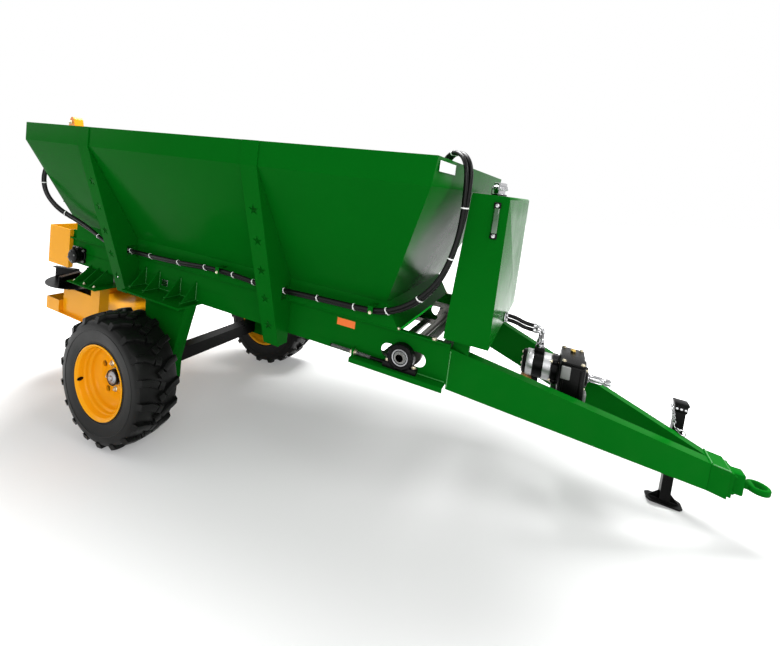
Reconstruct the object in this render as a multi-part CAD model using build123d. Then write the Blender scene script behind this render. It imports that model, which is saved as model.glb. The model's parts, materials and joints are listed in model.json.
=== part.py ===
# Rear-discharge manure spreader: a towed hopper with a moving floor, a metering gate and two spinning
# discs, standing nose-down on its wheels and its drop-leg jack.
# The pieces are drawn in a level machine frame: x forward from the wheel axis, y to the machine's left,
# z up from the ground under the wheels, in millimetres. parked() then leans and places all of them.
from build123d import *
import math
import os

os.makedirs("parts", exist_ok=True)

# ---- parking posture
park_pitch = 7.0            # degrees nose-down about the wheel axis

# ---- wheels and axle
tyre_radius = 378.0         # to the tips of the lugs, and the height of the wheel axis
tyre_bead_radius = 200.0
tyre_bead_width = 230.0
tyre_facets = 36
carcass_profile = [(290.0, 132.0), (345.0, 122.0), (354.0, 105.0)]      # radius, distance from the middle
lug_profile = [(340.0, 129.0), (352.0, 128.0), (378.0, 114.0)]          # the space the lugs fill
lug_count = 18              # on each side, the other side's half a pitch on
lug_half_width = 18.0
lug_bends = [(138.0, 0.0), (70.0, 6.0), (-12.0, 55.0)]      # distance from the middle, distance forward
rim_flange_radius = 212.0
rim_wall = 8.0
rim_flange_width = 10.0
rim_disc_depth = 120.0      # from the rim's outer face to the disc
rim_disc_wall = 9.0
hand_hole_count = 5
track = 1426.0
hub_radius = 78.0
hub_cap_radius = 46.0
hub_length = 118.0
hub_cap_reach = 46.0
spindle_radius = 32.0
spindle_clearance = 0.05
axle_side = 86.0
axle_half_length = 560.0

# ---- trough rails
rail_outer_half = 425.0     # the webs' outer faces
rail_bottom = 813.0
rail_height = 190.0
rail_wall = 8.0
rail_flange_out = 25.0
rail_flange_in = 40.0
rail_rear = -1030.0
rail_front = 1795.0
cross_member_depth = 50.0

# ---- moving floor
shaft_rise = 71.0           # both conveyor shafts above the rails' lower edge
front_shaft_x = 1585.0
rear_shaft_x = -915.0
chain_radius = 48.0         # inside of the chain band round the sprockets
chain_thickness = 24.0
chain_width = 30.0
chain_half_track = 345.0
slat_count = 24
slat_width = 42.0
slat_thickness = 14.0
floor_wall = 5.0
floor_end_gap = 82.0
floor_beam_height = 46.0
floor_beam_width = 60.0
floor_beam_count = 5
shaft_radius = 20.0
shaft_overhang = 46.0       # past the rails' outer faces
bearing_radius = 62.0
bearing_depth = 36.0
bearing_foot_half_length = 80.0
bearing_foot_height = 24.0
bearing_slot_reach = 110.0
take_up_drop = 64.0         # the bearing's foot below its shaft
take_up_leg = 60.0
take_up_wall = 6.0
take_up_reach = 245.0       # behind the shaft
take_up_lug = 10.0
take_up_screw_radius = 8.0
take_up_screw_drop = 50.0
take_up_screw_reach = 369.0
take_up_lug_drop = 30.0     # the lug's top below the shaft
drive_half_side = 52.0
drive_flange = 14.0
drive_corner = 20.0
motor_steps = [(44.0, 52.0), (34.0, 74.0)]      # radius, reach from the rail
drive_bearing_radius = 40.0
drive_bearing_reach = 40.0

# ---- hopper
hopper_rear = -950.0
rim_half_width = 803.0
rim_front = 1739.0
rim_height = 1782.0
knee_front = 1726.0
knee_height = 1672.0
throat_half_width = 450.0
throat_front = 1484.0
throat_rise = 112.0         # throat above the rails
hopper_foot_front = 1555.0
hopper_wall = 5.0
gate_opening_half = 360.0
gate_opening_rise = 232.0

# ---- side posts
post_edges = [-282.0, 941.0]        # x of each post's front edge, where its web stands
post_width = 96.0
post_plate = 6.0
post_foot_half_width = 495.0
post_foot_drop = 53.0       # below the rails' lower edge
star_count = 5
star_radius = 28.0
star_top = 1474.0
star_pitch = 150.0
hose_slot_rise = 40.0       # middle of the hoses' slot above the rails
hose_slot_width = 64.0
hose_slot_depth = 52.0
hose_slot_gap = 15.0

# ---- metering gate and its cylinders
gate_half_width = 400.0
gate_plate = 8.0
gate_gap = 5.0
gate_lap = 13.0             # the closed gate reaches below the rails' top
gate_height = 300.0
gate_travel = 200.0
gate_beam_height = 30.0
gate_beam_depth = 60.0
gate_beam_half_width = 515.0
guide_width = 30.0
guide_wall = 6.0
cylinder_half_track = 480.0
cylinder_radius = 27.0
cylinder_bore = 20.0
cylinder_rise = 18.0        # cylinder heads above the rim
cylinder_length = 270.0
cylinder_cap = 20.0
rod_radius = 11.0
rod_clearance = 0.05
bracket_rise = 66.0         # bracket cheeks above the cylinder heads
bracket_drop = 100.0        # bracket backs below the cylinder heads
bracket_width = 64.0
bracket_plate = 10.0
rod_collar_height = 14.0
port_half_length = 25.0
port_face = 520.0           # out from the machine's middle
port_low = 1550.0
port_high = 1600.0
rod_in_barrel = 40.0

# ---- rear hood
hood_rear = -1290.0
hood_drop = 43.0            # below the rails' lower edge
hood_rise = 53.0            # above the rails
hood_wall = 6.0

# ---- spinner frame, motors and discs
spinner_drop = 413.0        # tray below the rails' lower edge
spinner_wall = 6.0
spinner_frame_rear = -1300.0
spinner_frame_front = -640.0
spinner_frame_half = 440.0
spinner_lip = 95.0
spinner_side_height = 200.0
spinner_side_front = -750.0
spinner_side_rear = -1135.0
spinner_post_drop = 87.0    # flange plates below the rails' lower edge
spinner_post_width = 70.0
spinner_post_length = 100.0
spinner_plate_rear = -840.0
spinner_plate_front = -520.0
spinner_plate_outer = 560.0
spinner_plate_wall = 8.0
spinner_gussets = [-790.0, -700.0, -610.0]
spinner_gusset_rise = 22.0
disc_x = -1130.0
disc_half_track = 272.0
disc_radius = 246.0
disc_drop = 195.0           # underside of the discs below the rails' lower edge
disc_wall = 6.0
vane_count = 4
vane_height = 84.0
vane_inner = 62.0
vane_wall = 8.0
spinner_motor_radius = 62.0
spinner_shaft_radius = 16.0
spinner_shaft_clearance = 0.05
spinner_motor_gap = 14.0

# ---- wheel legs and their brackets
shelf_rear = -230.0
shelf_front = 282.0
shelf_wall = 12.0
shelf_inner = 385.0
shelf_half_width = 575.0
gusset_drop = 60.0          # gussets' tips below the rails' top
gusset_reach = 118.0        # out from the rails' webs
gusset_wall = 8.0
gusset_places = [-210.0, -80.0, 110.0, 245.0]
leg_inner = 430.0
leg_outer = 516.0
leg_top_rear = -75.0
leg_top_front = 274.0
leg_foot_rear = -66.0
leg_foot_front = 185.0
leg_bottom = 322.0
leg_wall = 8.0

# ---- drawbar
beam_width = 60.0
beam_drop = 28.0            # beams' upper edge below the rails' top, at the rails
beam_sag = 25.0             # beams' lower edge below the rails, at the rails
head_start = 2835.0
head_start_top = 677.0
head_start_bottom = 560.0
head_end = 2900.0
head_half_width = 61.0
head_end_top = 670.0
head_end_bottom = 550.0
flange_plate = 15.0
hitch_block_length = 45.0
hitch_block_half_width = 28.0
hitch_block_height = 92.0
ring_radius = 40.0
ring_bore = 26.0
ring_thickness = 28.0
ring_neck_half = 17.0
ring_reach = 93.0           # from the flange plate's face to the ring's centre
ring_height = 612.0

# ---- oil tank
tank_rear_top = 1807.0
tank_rear_bottom = 1770.0
tank_front = 1958.0
tank_bottom = 1033.0
tank_top = 1667.0
tank_half_width = 481.0
tank_wall = 5.0
filler_place = (1882.0, -250.0)
filler_hole_radius = 18.0
filler_neck = (24.0, 22.0)          # radius, height
filler_head = (34.0, 36.0)          # radius, height
gauge_x = 1914.0
gauge_drop = 27.0           # gauge's upper end below the tank's top
gauge_length = 150.0
gauge_half_width = 14.0
gauge_depth = 12.0

# ---- hoses
side_hose_radius = 9.5
side_hose_spacing = 11.0    # from the pair's middle to each hose
side_hose_route = [
    # x, y, z of the pair's middle, then the way from it towards the first hose
    (-993, -520, 1575, (1, 0, 0)),
    (-993, -563, 1575, (1, 0, 0)),
    (-993, -605, 1557, (1, 0, 0)),
    (-994, -638, 1525, (1, 0, 0)),
    (-997, -655, 1483, (1, 0, 0)),
    (-1000, -660, 1428, (1, 0, 0)),
    (-999, -654, 1370, (1, 0, 0)),
    (-993, -636, 1313, (1, 0, 0.1)),
    (-974, -607, 1260, (1, 0, 0.3)),
    (-935, -578, 1215, (1, 0, 0.6)),
    (-870, -550, 1182, (1, -0.3, 1)),
    (-780, -524, 1146, (0.6, -0.5, 1)),
    (-676, -502, 1104, (0.3, -0.7, 1)),
    (-581, -492, 1059, (0, -1, 1)),
    (-490, -490, 1038, (0, -1, 1)),
    (-363, -490, 1037, (0, -1, 1)),
    (-164, -490, 1038, (0, -1, 1)),
    (14, -490, 1041, (0, -1, 1)),
    (204, -490, 1049, (0, -1, 1)),
    (402, -490, 1065, (0, -1, 1)),
    (593, -490, 1064, (0, -1, 1)),
    (789, -490, 1049, (0, -1, 1)),
    (1008, -490, 1056, (0, -1, 1)),
    (1206, -490, 1064, (0, -1, 1)),
    (1346, -490, 1067, (0, -1, 1)),
    (1434, -492, 1073, (0, -1, 1)),
    (1512, -497, 1089, (-0.2, -1, 1)),
    (1593, -507, 1131, (-0.4, -1, 0.8)),
    (1662, -515, 1188, (-0.4, -1, 0.5)),
    (1714, -521, 1254, (-0.3, -1, 0.2)),
    (1749, -521, 1326, (-0.2, -1, 0)),
    (1772, -521, 1407, (-0.1, -1, 0)),
    (1786, -521, 1489, (0, -1, 0)),
    (1794, -521, 1573, (-0.3, -1, 0)),
    (1795, -521, 1660, (-0.6, -1, 0)),
    (1791, -517, 1741, (-1, -1, 0)),
    (1779, -505, 1781, (-1, -1, 0)),
    (1758, -484, 1811, (-1, -1, 0)),
    (1730, -456, 1828, (-1, -1, 0)),
    (1699, -425, 1828, (-1, -1, 0)),
    (1671, -397, 1811, (-1, -1, 0)),
    (1650, -376, 1781, (-1, -1, 0)),
    (1638, -364, 1741, (-1, -1, 0)),
    (1638, -364, 1698, (-1, -1, 0)),
]
hose_rest_rear = 1620.0
hose_rest_half_width = 32.0
hose_rest_wall = 8.0
clip_places = [(490.0, 1065.0), (1434.0, 1074.0)]        # x, middle height of the hoses there
clip_width = 24.0
clip_wall = 4.0
clip_rise = 27.0
clip_fall = 20.0
clip_reach = 518.0
pump_hose_radius = 10.0
pump_hose_spacing = 11.5
pump_hose_route = [(2104, 1040), (2060, 1040), (2010, 1060), (1966, 1060)]      # x, z of the pair's middle
pump_elbow = (2104.0, 2150.0, 18.0, 1016.0, 1064.0)     # rear, front, half width, bottom, top
pump_riser_radius = 16.0
tank_flange = (8.0, 28.0, 1036.0, 1084.0)               # thickness, half width, bottom, top

# ---- gearbox, pump and power shaft
drive_height = 868.0
gearbox_rear = 2232.0
gearbox_front = 2345.0
gearbox_half_width = 122.0
gearbox_bottom = 776.0
gearbox_top = 953.0
pump_rear = 2072.0
pump_radius = 66.0
gearbox_nose = 16.0
gearbox_nose_radius = 46.0
pto_radius = 17.4
pto_length = 92.0           # free length of the power shaft
pto_journal_radius = 22.0
pto_clearance = 0.05
pto_seat = 60.0
pto_shoulder = 2.0          # journal stands out of the nose
mount_plate = 14.0

# ---- drop-leg jack
jack_x = 2750.0
jack_leg_side = 40.0
jack_clearance = 0.5
jack_sleeve_wall = 6.0
jack_sleeve_bottom = 594.0
jack_sleeve_height = 92.0
jack_top = 832.0
jack_pad_thickness = 20.0
jack_leg_wall = 5.0
jack_foot_length = 140.0
jack_foot_width = 74.0
jack_foot_wall = 8.0
jack_foot_chamfer = 14.0

# ---- what follows from the sizes above
rail_top = rail_bottom + rail_height
conveyor_height = rail_bottom + shaft_rise
throat_height = rail_top + throat_rise
gate_opening_top = rail_top + gate_opening_rise
post_foot_height = rail_bottom - post_foot_drop
hose_slot_height = rail_top + hose_slot_rise
gate_bottom = rail_top - gate_lap
gate_top = gate_bottom + gate_height
cylinder_top = rim_height + cylinder_rise
cylinder_bottom = cylinder_top - cylinder_length
hood_bottom = rail_bottom - hood_drop
hood_top = rail_top + hood_rise
spinner_floor = rail_bottom - spinner_drop
spinner_side_top = spinner_floor + spinner_side_height
spinner_post_top = rail_bottom - spinner_post_drop
disc_height = rail_bottom - disc_drop
shelf_bottom = rail_bottom - shelf_wall
gusset_top = rail_top - gusset_drop
beam_rear_top = rail_top - beam_drop
beam_rear_bottom = rail_bottom - beam_sag
rail_inner_half = rail_outer_half - rail_wall
wheel_half_track = track / 2
floor_top = conveyor_height + chain_radius
beam_slope_out = (rail_inner_half - head_half_width) / (head_start - rail_front)
lean_sin = math.sin(math.radians(park_pitch))
lean_cos = math.cos(math.radians(park_pitch))
jack_foot_front = jack_x + jack_foot_length / 2
jack_foot_bottom = tyre_radius + (jack_foot_front * lean_sin - tyre_radius) / lean_cos


def box(x_low, x_high, y_low, y_high, z_low, z_high):
    # A block between two corners.
    size = (x_high - x_low, y_high - y_low, z_high - z_low)
    middle = ((x_low + x_high) / 2, (y_low + y_high) / 2, (z_low + z_high) / 2)
    return Pos(*middle) * Box(*size)


def prism(points, axis, low, high):
    # A straight prism along one machine axis. The points lie on the other two axes, in x, y, z order.
    if axis == "x":
        outline = [Vector(low, a, b) for a, b in points]
        way = (1, 0, 0)
    elif axis == "y":
        outline = [Vector(a, low, b) for a, b in points]
        way = (0, 1, 0)
    else:
        outline = [Vector(a, b, low) for a, b in points]
        way = (0, 0, 1)
    return extrude(Face(Wire.make_polygon(outline, close=True)), amount=high - low, dir=way)


def bar(axis, centre, radius, low, high):
    # A round bar along one machine axis, its centre given on the other two axes in x, y, z order.
    a, b = centre
    start = {"x": (low, a, b), "y": (a, low, b), "z": (a, b, low)}[axis]
    way = {"x": (1, 0, 0), "y": (0, 1, 0), "z": (0, 0, 1)}[axis]
    return Solid.make_cylinder(radius, high - low, Plane(origin=start, z_dir=way))


def group(pieces):
    # Separate solids of one body, kept together in one node.
    return Compound([solid for piece in pieces for solid in piece.solids()])


def far_side(shape):
    # The same piece on the machine's left side.
    return mirror(shape, about=Plane.XZ)


def frustum(low, high):
    # A straight-sided block between two level rectangles, each (x rear, x front, half width, height).
    ends = []
    for rear, front, half, height in (low, high):
        corners = [(rear, -half), (front, -half), (front, half), (rear, half)]
        ends.append(Face(Wire.make_polygon([Vector(x, y, height) for x, y in corners], close=True)))
    return loft(ends, ruled=True)


def along_beam(x, rear, start, end):
    # A height that runs straight from the rails to the head, then to the head's end.
    if x < head_start:
        return rear + (start - rear) * (x - rail_front) / (head_start - rail_front)
    return start + (end - start) * (x - head_start) / (head_end - head_start)


def beam_top(x):
    return along_beam(x, beam_rear_top, head_start_top, head_end_top)


def beam_bottom(x):
    return along_beam(x, beam_rear_bottom, head_start_bottom, head_end_bottom)


def beam_outer(x):
    return rail_inner_half - beam_slope_out * (min(x, head_start) - rail_front)


# ---- trough

def side_rail():
    # Right-hand trough side: an upright web with its top flange turned out and its bottom flange in.
    outer = -rail_outer_half
    inner = -rail_inner_half
    web = box(rail_rear, rail_front, outer, inner, rail_bottom, rail_top)
    top = box(rail_rear, rail_front, outer - rail_flange_out, outer, rail_top - rail_wall, rail_top)
    bottom = box(rail_rear, rail_front, inner, inner + rail_flange_in, rail_bottom, rail_bottom + rail_wall)
    cheek_front = hopper_rear - gate_gap
    cheek_outline = [
        (rail_rear, rail_top),
        (cheek_front, rail_top),
        (cheek_front, hood_top),
        (rail_rear, hood_top),
    ]
    cheek = prism(cheek_outline, "y", outer, inner)
    rail = web + top + bottom + cheek
    slot_half = shaft_radius + 15
    run = bearing_slot_reach - slot_half
    slot = box(
        front_shaft_x - run, front_shaft_x + run, outer - 1, inner + 1,
        conveyor_height - slot_half, conveyor_height + slot_half,
    )
    for middle in (front_shaft_x - run, front_shaft_x + run):
        slot += bar("y", (middle, conveyor_height), slot_half, outer - 1, inner + 1)
    shaft_hole = bar("y", (rear_shaft_x, conveyor_height), shaft_radius + 2, outer - 1, inner + 1)
    return rail - slot - shaft_hole


def cross_members():
    # The front box that carries the drawbar, and the bearers under the trough floor.
    half = rail_inner_half
    rear = rail_front - cross_member_depth
    pieces = [box(rear, rail_front, -half, half, rail_bottom + rail_wall, beam_rear_top)]
    beam_top_height = floor_top - floor_wall
    first = rear_shaft_x + 2 * floor_end_gap
    last = front_shaft_x - 2 * floor_end_gap
    for number in range(floor_beam_count):
        x = first + (last - first) * number / (floor_beam_count - 1)
        pieces.append(box(
            x - floor_beam_width / 2, x + floor_beam_width / 2, -half, half,
            beam_top_height - floor_beam_height, beam_top_height,
        ))
    return group(pieces)


def trough_floor():
    half = rail_inner_half
    rear = rear_shaft_x + floor_end_gap
    front = front_shaft_x - floor_end_gap
    return box(rear, front, -half, half, floor_top - floor_wall, floor_top)


# ---- moving floor

def loop_band(inner_offset, outer_offset, half_track, width):
    # A closed band round both shafts, between two offsets from the line that joins them.
    def racetrack(offset):
        block = box(
            rear_shaft_x, front_shaft_x, half_track - width / 2, half_track + width / 2,
            conveyor_height - offset, conveyor_height + offset,
        )
        for x in (rear_shaft_x, front_shaft_x):
            block += bar("y", (x, conveyor_height), offset, half_track - width / 2, half_track + width / 2)
        return block
    return racetrack(outer_offset) - racetrack(inner_offset)


def conveyor():
    # Both chain bands with the slats across them: one loop.
    loop = loop_band(chain_radius, chain_radius + chain_thickness, chain_half_track, chain_width)
    loop += loop_band(chain_radius, chain_radius + chain_thickness, -chain_half_track, chain_width)
    straight = front_shaft_x - rear_shaft_x
    bend_radius = chain_radius + chain_thickness / 2
    bend = math.pi * bend_radius
    length = 2 * (straight + bend)
    half = chain_half_track + chain_width / 2
    for number in range(slat_count):
        along = length * (number + 0.5) / slat_count
        if along < straight:
            x, z, turn = rear_shaft_x + along, conveyor_height + bend_radius, 0
        elif along < straight + bend:
            turn = (along - straight) / bend_radius
            x = front_shaft_x + bend_radius * math.sin(turn)
            z = conveyor_height + bend_radius * math.cos(turn)
        elif along < 2 * straight + bend:
            x, z, turn = front_shaft_x - (along - straight - bend), conveyor_height - bend_radius, math.pi
        else:
            turn = math.pi + (along - 2 * straight - bend) / bend_radius
            x = rear_shaft_x + bend_radius * math.sin(turn)
            z = conveyor_height + bend_radius * math.cos(turn)
        slat = Box(slat_width, 2 * half, slat_thickness)
        loop += Pos(x, 0, z) * Rot(0, math.degrees(turn), 0) * slat
    return loop


def conveyor_shaft(x):
    # A shaft with a sprocket under each chain.
    reach = rail_outer_half + shaft_overhang
    shaft = bar("y", (x, conveyor_height), shaft_radius, -reach, reach)
    half = chain_width / 3
    for side in (-1, 1):
        middle = side * chain_half_track
        shaft += bar("y", (x, conveyor_height), chain_radius, middle - half, middle + half)
    return shaft


def take_up_bearing():
    # Right-hand front bearing on its foot, with the screw that pulls it along the slot.
    outer = -rail_outer_half
    depth = bearing_depth
    housing = bar("y", (front_shaft_x, conveyor_height), bearing_radius, outer - depth, outer)
    bottom = conveyor_height - take_up_drop
    top = bottom + bearing_foot_height
    half = bearing_foot_half_length
    housing += box(front_shaft_x - half, front_shaft_x + half, outer - depth, outer, bottom, top)
    screw_place = (outer - depth / 2, conveyor_height - take_up_screw_drop)
    screw_rear = front_shaft_x - take_up_screw_reach
    screw = bar("x", screw_place, take_up_screw_radius, screw_rear, front_shaft_x - bearing_radius / 2)
    bore = bar("y", (front_shaft_x, conveyor_height), shaft_radius, outer - depth - 1, outer + 1)
    return housing + screw - bore


def take_up_angle():
    # Angle under the bearing on the rail, with the lug for the screw.
    outer = -rail_outer_half
    top = conveyor_height - take_up_drop
    leg = take_up_leg
    wall = take_up_wall
    rear = front_shaft_x - take_up_reach
    front = rail_front
    angle = box(rear, front, outer - leg, outer, top - wall, top)
    angle += box(rear, front, outer - leg, outer - leg + wall, top - 4 * wall, top)
    lug_top = conveyor_height - take_up_lug_drop
    lug = box(rear, rear + take_up_lug, outer - leg + 4 * wall, outer, top, lug_top)
    screw_place = (outer - bearing_depth / 2, conveyor_height - take_up_screw_drop)
    return angle + lug - bar("x", screw_place, take_up_screw_radius, rear - 1, rear + take_up_lug + 1)


def drive_plate(y_low, y_high):
    # Square flange with cut corners round the rear shaft.
    half = drive_half_side
    rear = rear_shaft_x - half
    bottom = conveyor_height - half
    plate = box(rear, rear + 2 * half, y_low, y_high, bottom, bottom + 2 * half)
    return chamfer(plate.edges().filter_by(Axis.Y), drive_corner)


def drive_motor():
    # Right-hand bearing and hydraulic motor of the rear shaft.
    outer = -rail_outer_half
    centre = (rear_shaft_x, conveyor_height)
    motor = drive_plate(outer - drive_flange, outer)
    start = outer - drive_flange
    for radius, reach in motor_steps:
        motor += bar("y", centre, radius, outer - reach, start)
        start = outer - reach
    return motor - bar("y", centre, shaft_radius, outer - shaft_overhang - 1, outer + 1)


def drive_bearing():
    # Left-hand flanged bearing of the rear shaft.
    outer = rail_outer_half
    centre = (rear_shaft_x, conveyor_height)
    end = outer + drive_bearing_reach
    flange = drive_plate(outer, outer + drive_flange)
    flange += bar("y", centre, drive_bearing_radius, outer + drive_flange, end)
    return flange - bar("y", centre, shaft_radius, outer - 1, end + 1)


# ---- hopper and its posts

def hopper_body(inset):
    # The hopper's solid form, drawn in by the wall's thickness for its inside.
    rear = hopper_rear + inset
    rim = (rear, rim_front - inset, rim_half_width - inset, rim_height)
    knee = (rear, knee_front - inset, rim_half_width - inset, knee_height)
    throat = (rear, throat_front - inset, throat_half_width - inset, throat_height)
    foot = (rear, hopper_foot_front - inset, throat_half_width - inset, rail_top)
    return frustum(knee, rim) + frustum(throat, knee) + frustum(foot, throat)


def hopper():
    opening = box(
        hopper_rear - 1, hopper_rear + hopper_wall + 1, -gate_opening_half, gate_opening_half,
        rail_top - 1, gate_opening_top,
    )
    return hopper_body(0) - hopper_body(hopper_wall) - opening


def five_point_star(radius):
    # A plain five-point star, its points a full radius out and its notches at the golden ratio squared.
    notch = radius * 0.382
    spots = []
    for step in range(10):
        reach = radius if step % 2 == 0 else notch
        angle = math.radians(90 + 36 * step)
        spots.append((reach * math.cos(angle), reach * math.sin(angle)))
    return spots


def post(front_edge):
    # Right-hand post: a flange down the rim band and leaning in to its foot, with star cut-outs, and a web.
    lean_run = rim_half_width - post_foot_half_width
    lean_rise = knee_height - post_foot_height
    lean_length = math.hypot(lean_run, lean_rise)
    out_y = -lean_rise / lean_length
    out_z = -lean_run / lean_length
    bend_drop = post_plate * math.tan(math.atan2(lean_run, lean_rise) / 2)
    flange_outline = [
        (-rim_half_width, rim_height),
        (-rim_half_width, knee_height),
        (-post_foot_half_width, post_foot_height),
        (-post_foot_half_width + post_plate * out_y, post_foot_height + post_plate * out_z),
        (-rim_half_width - post_plate, knee_height - bend_drop),
        (-rim_half_width - post_plate, rim_height),
    ]
    flange = prism(flange_outline, "x", front_edge - post_width, front_edge)
    for number in range(star_count):
        height = star_top - star_pitch * number
        y = -rim_half_width + lean_run * (knee_height - height) / lean_rise
        seat = Plane(
            origin=(front_edge - post_width / 2, y, height), x_dir=(1, 0, 0), z_dir=(0, out_y, out_z),
        )
        star = make_face(Polyline(*five_point_star(star_radius), close=True))
        cutter = extrude(seat * star, amount=3 * post_plate, both=True)
        flange -= cutter
    rail_edge = -rail_outer_half - rail_flange_out
    web_outline = [
        (-rim_half_width, knee_height),
        (-post_foot_half_width, post_foot_height),
        (-rail_outer_half, post_foot_height),
        (-rail_outer_half, rail_top - rail_wall),
        (rail_edge, rail_top - rail_wall),
        (rail_edge, throat_height),
        (-throat_half_width, throat_height),
    ]
    web = prism(web_outline, "x", front_edge - post_plate, front_edge)
    slot_inner = -throat_half_width - hose_slot_gap
    slot_low = hose_slot_height - hose_slot_width / 2
    web -= box(
        front_edge - post_plate - 1, front_edge + 1, slot_inner - hose_slot_depth, slot_inner,
        slot_low, slot_low + hose_slot_width,
    )
    return flange + web


def posts():
    return group([post(edge) for edge in post_edges])


# ---- gate

def gate_face():
    # The gate's front face, clear of the hopper's rear wall.
    return hopper_rear - gate_gap


def gate():
    face = gate_face()
    plate = box(face - gate_plate, face, -gate_half_width, gate_half_width, gate_bottom, gate_top)
    beam_front = face - gate_plate
    beam = box(
        beam_front - gate_beam_depth, beam_front, -gate_beam_half_width, gate_beam_half_width,
        gate_top - gate_beam_height, gate_top,
    )
    return plate + beam


def rod_x():
    return gate_face() - gate_plate - gate_beam_depth / 2


def gate_rods():
    rods = []
    for side in (-1, 1):
        centre = (rod_x(), side * cylinder_half_track)
        rod = bar("z", centre, rod_radius, gate_top, cylinder_bottom + rod_in_barrel)
        rod += bar("z", centre, 2 * rod_radius, gate_top, gate_top + rod_collar_height)
        rods.append(rod)
    return group(rods)


def gate_guides():
    # A channel up each side of the opening, open towards the gate's edge.
    guides = []
    for side in (-1, 1):
        y_inner = gate_half_width - guide_width / 2
        y_outer = gate_half_width + gate_gap + guide_wall
        depth = 2 * gate_gap + gate_plate + guide_wall
        bottom = rail_top
        top = gate_top - gate_beam_height - gate_gap
        block = box(hopper_rear - depth, hopper_rear, y_inner, y_outer, bottom, top)
        block -= box(
            hopper_rear - depth + guide_wall, hopper_rear + 1, y_inner - 1, y_outer - guide_wall,
            bottom - 1, top + 1,
        )
        guides.append(block if side > 0 else far_side(block))
    return group(guides)


def gate_cylinders():
    barrels = []
    for side in (-1, 1):
        centre = (rod_x(), side * cylinder_half_track)
        barrel = bar("z", centre, cylinder_radius, cylinder_bottom, cylinder_top)
        if side < 0:
            inner = -cylinder_half_track - (cylinder_radius + cylinder_bore) / 2
            barrel += box(
                rod_x() - port_half_length, rod_x() + port_half_length,
                -port_face, inner, port_low, port_high,
            )
        bore_bottom = cylinder_bottom + cylinder_cap
        barrel -= bar("z", centre, cylinder_bore, bore_bottom, cylinder_top - cylinder_cap)
        barrel -= bar("z", centre, rod_radius + rod_clearance, cylinder_bottom - 1, bore_bottom + 1)
        barrels.append(barrel)
    return group(barrels)


def cylinder_brackets():
    # Angle brackets on the rear rim that hang the cylinders.
    brackets = []
    wall = bracket_plate
    top = cylinder_top + bracket_rise
    bottom = cylinder_top - bracket_drop
    corner = bracket_rise / 5
    rear = rod_x() - cylinder_radius
    cheek_outline = [
        (rear, cylinder_top + wall),
        (hopper_rear, cylinder_top + wall),
        (hopper_rear - corner, top - corner),
        (hopper_rear - 2 * corner, top),
        (rear + 2 * corner, top),
        (rear + corner, top - corner),
    ]
    for side in (-1, 1):
        y_low = side * cylinder_half_track - bracket_width / 2
        y_high = y_low + bracket_width
        plate = box(rear, hopper_rear, y_low, y_high, cylinder_top, cylinder_top + wall)
        back = box(hopper_rear - wall, hopper_rear, y_low, y_high, bottom, cylinder_top)
        cheek = prism(cheek_outline, "y", y_low, y_high)
        brackets.append(plate + back + cheek)
    return group(brackets)


# ---- rear hood and spinners

def rear_hood():
    half = rail_outer_half + rail_flange_out
    outside = box(hood_rear, rail_rear, -half, half, hood_bottom, hood_top)
    inner_half = half - hood_wall
    inside = box(
        hood_rear + hood_wall, rail_rear + 1, -inner_half, inner_half, hood_bottom - 1, hood_top + 1,
    )
    hood = outside - inside
    for side in (-1, 1):
        tab = box(rail_rear - hood_wall, rail_rear, rail_inner_half, half, hood_bottom, hood_top)
        hood += tab if side > 0 else far_side(tab)
    return hood


def spinner_frame():
    # Tray, side panels and corner posts that carry the spinner motors below the hood.
    half = spinner_frame_half
    top = spinner_floor + spinner_wall
    rear = spinner_frame_rear
    lip_top = spinner_floor + spinner_lip
    frame = box(rear, spinner_frame_front, -half, half, spinner_floor, top)
    frame += box(rear, rear + spinner_wall, -half, half, top, lip_top)
    for side in (-1, 1):
        panel = box(
            spinner_side_rear, spinner_side_front, half - spinner_post_width / 2,
            half - spinner_post_width / 2 + spinner_wall, top, spinner_side_top,
        )
        stub = box(rear, spinner_side_rear, half - spinner_wall, half, top, lip_top)
        link = box(
            spinner_side_rear - spinner_wall, spinner_side_rear, half - spinner_post_width / 2, half,
            top, lip_top,
        )
        upright = box(
            spinner_side_front, spinner_side_front + spinner_post_length, half - spinner_post_width, half,
            top, spinner_post_top,
        )
        for piece in (panel, stub, link, upright):
            frame += piece if side > 0 else far_side(piece)
    return frame


def spinner_brackets():
    # Under each rail: a flange plate on gussets, to which the spinner frame's corner posts are bolted.
    brackets = []
    low = spinner_post_top + spinner_plate_wall
    inner = spinner_frame_half - spinner_post_width - 10
    gusset_inner = rail_inner_half - rail_flange_in
    outline = [
        (gusset_inner, low),
        (spinner_plate_outer - 12, low),
        (rail_outer_half, rail_bottom + spinner_gusset_rise),
        (rail_outer_half, rail_bottom),
        (gusset_inner, rail_bottom),
    ]
    for side in (-1, 1):
        plate = box(
            spinner_plate_rear, spinner_plate_front, inner, spinner_plate_outer, spinner_post_top, low,
        )
        for x in spinner_gussets:
            plate += prism(outline, "x", x - gusset_wall / 2, x + gusset_wall / 2)
        brackets.append(plate if side > 0 else far_side(plate))
    return group(brackets)


def spinner_motors():
    motors = []
    for side in (-1, 1):
        centre = (disc_x, side * disc_half_track)
        top = disc_height - spinner_motor_gap
        motor = bar("z", centre, spinner_motor_radius, spinner_floor + spinner_wall, top)
        motor -= bar("z", centre, spinner_shaft_radius + spinner_shaft_clearance, top - 80, top + 1)
        motors.append(motor)
    return group(motors)


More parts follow.
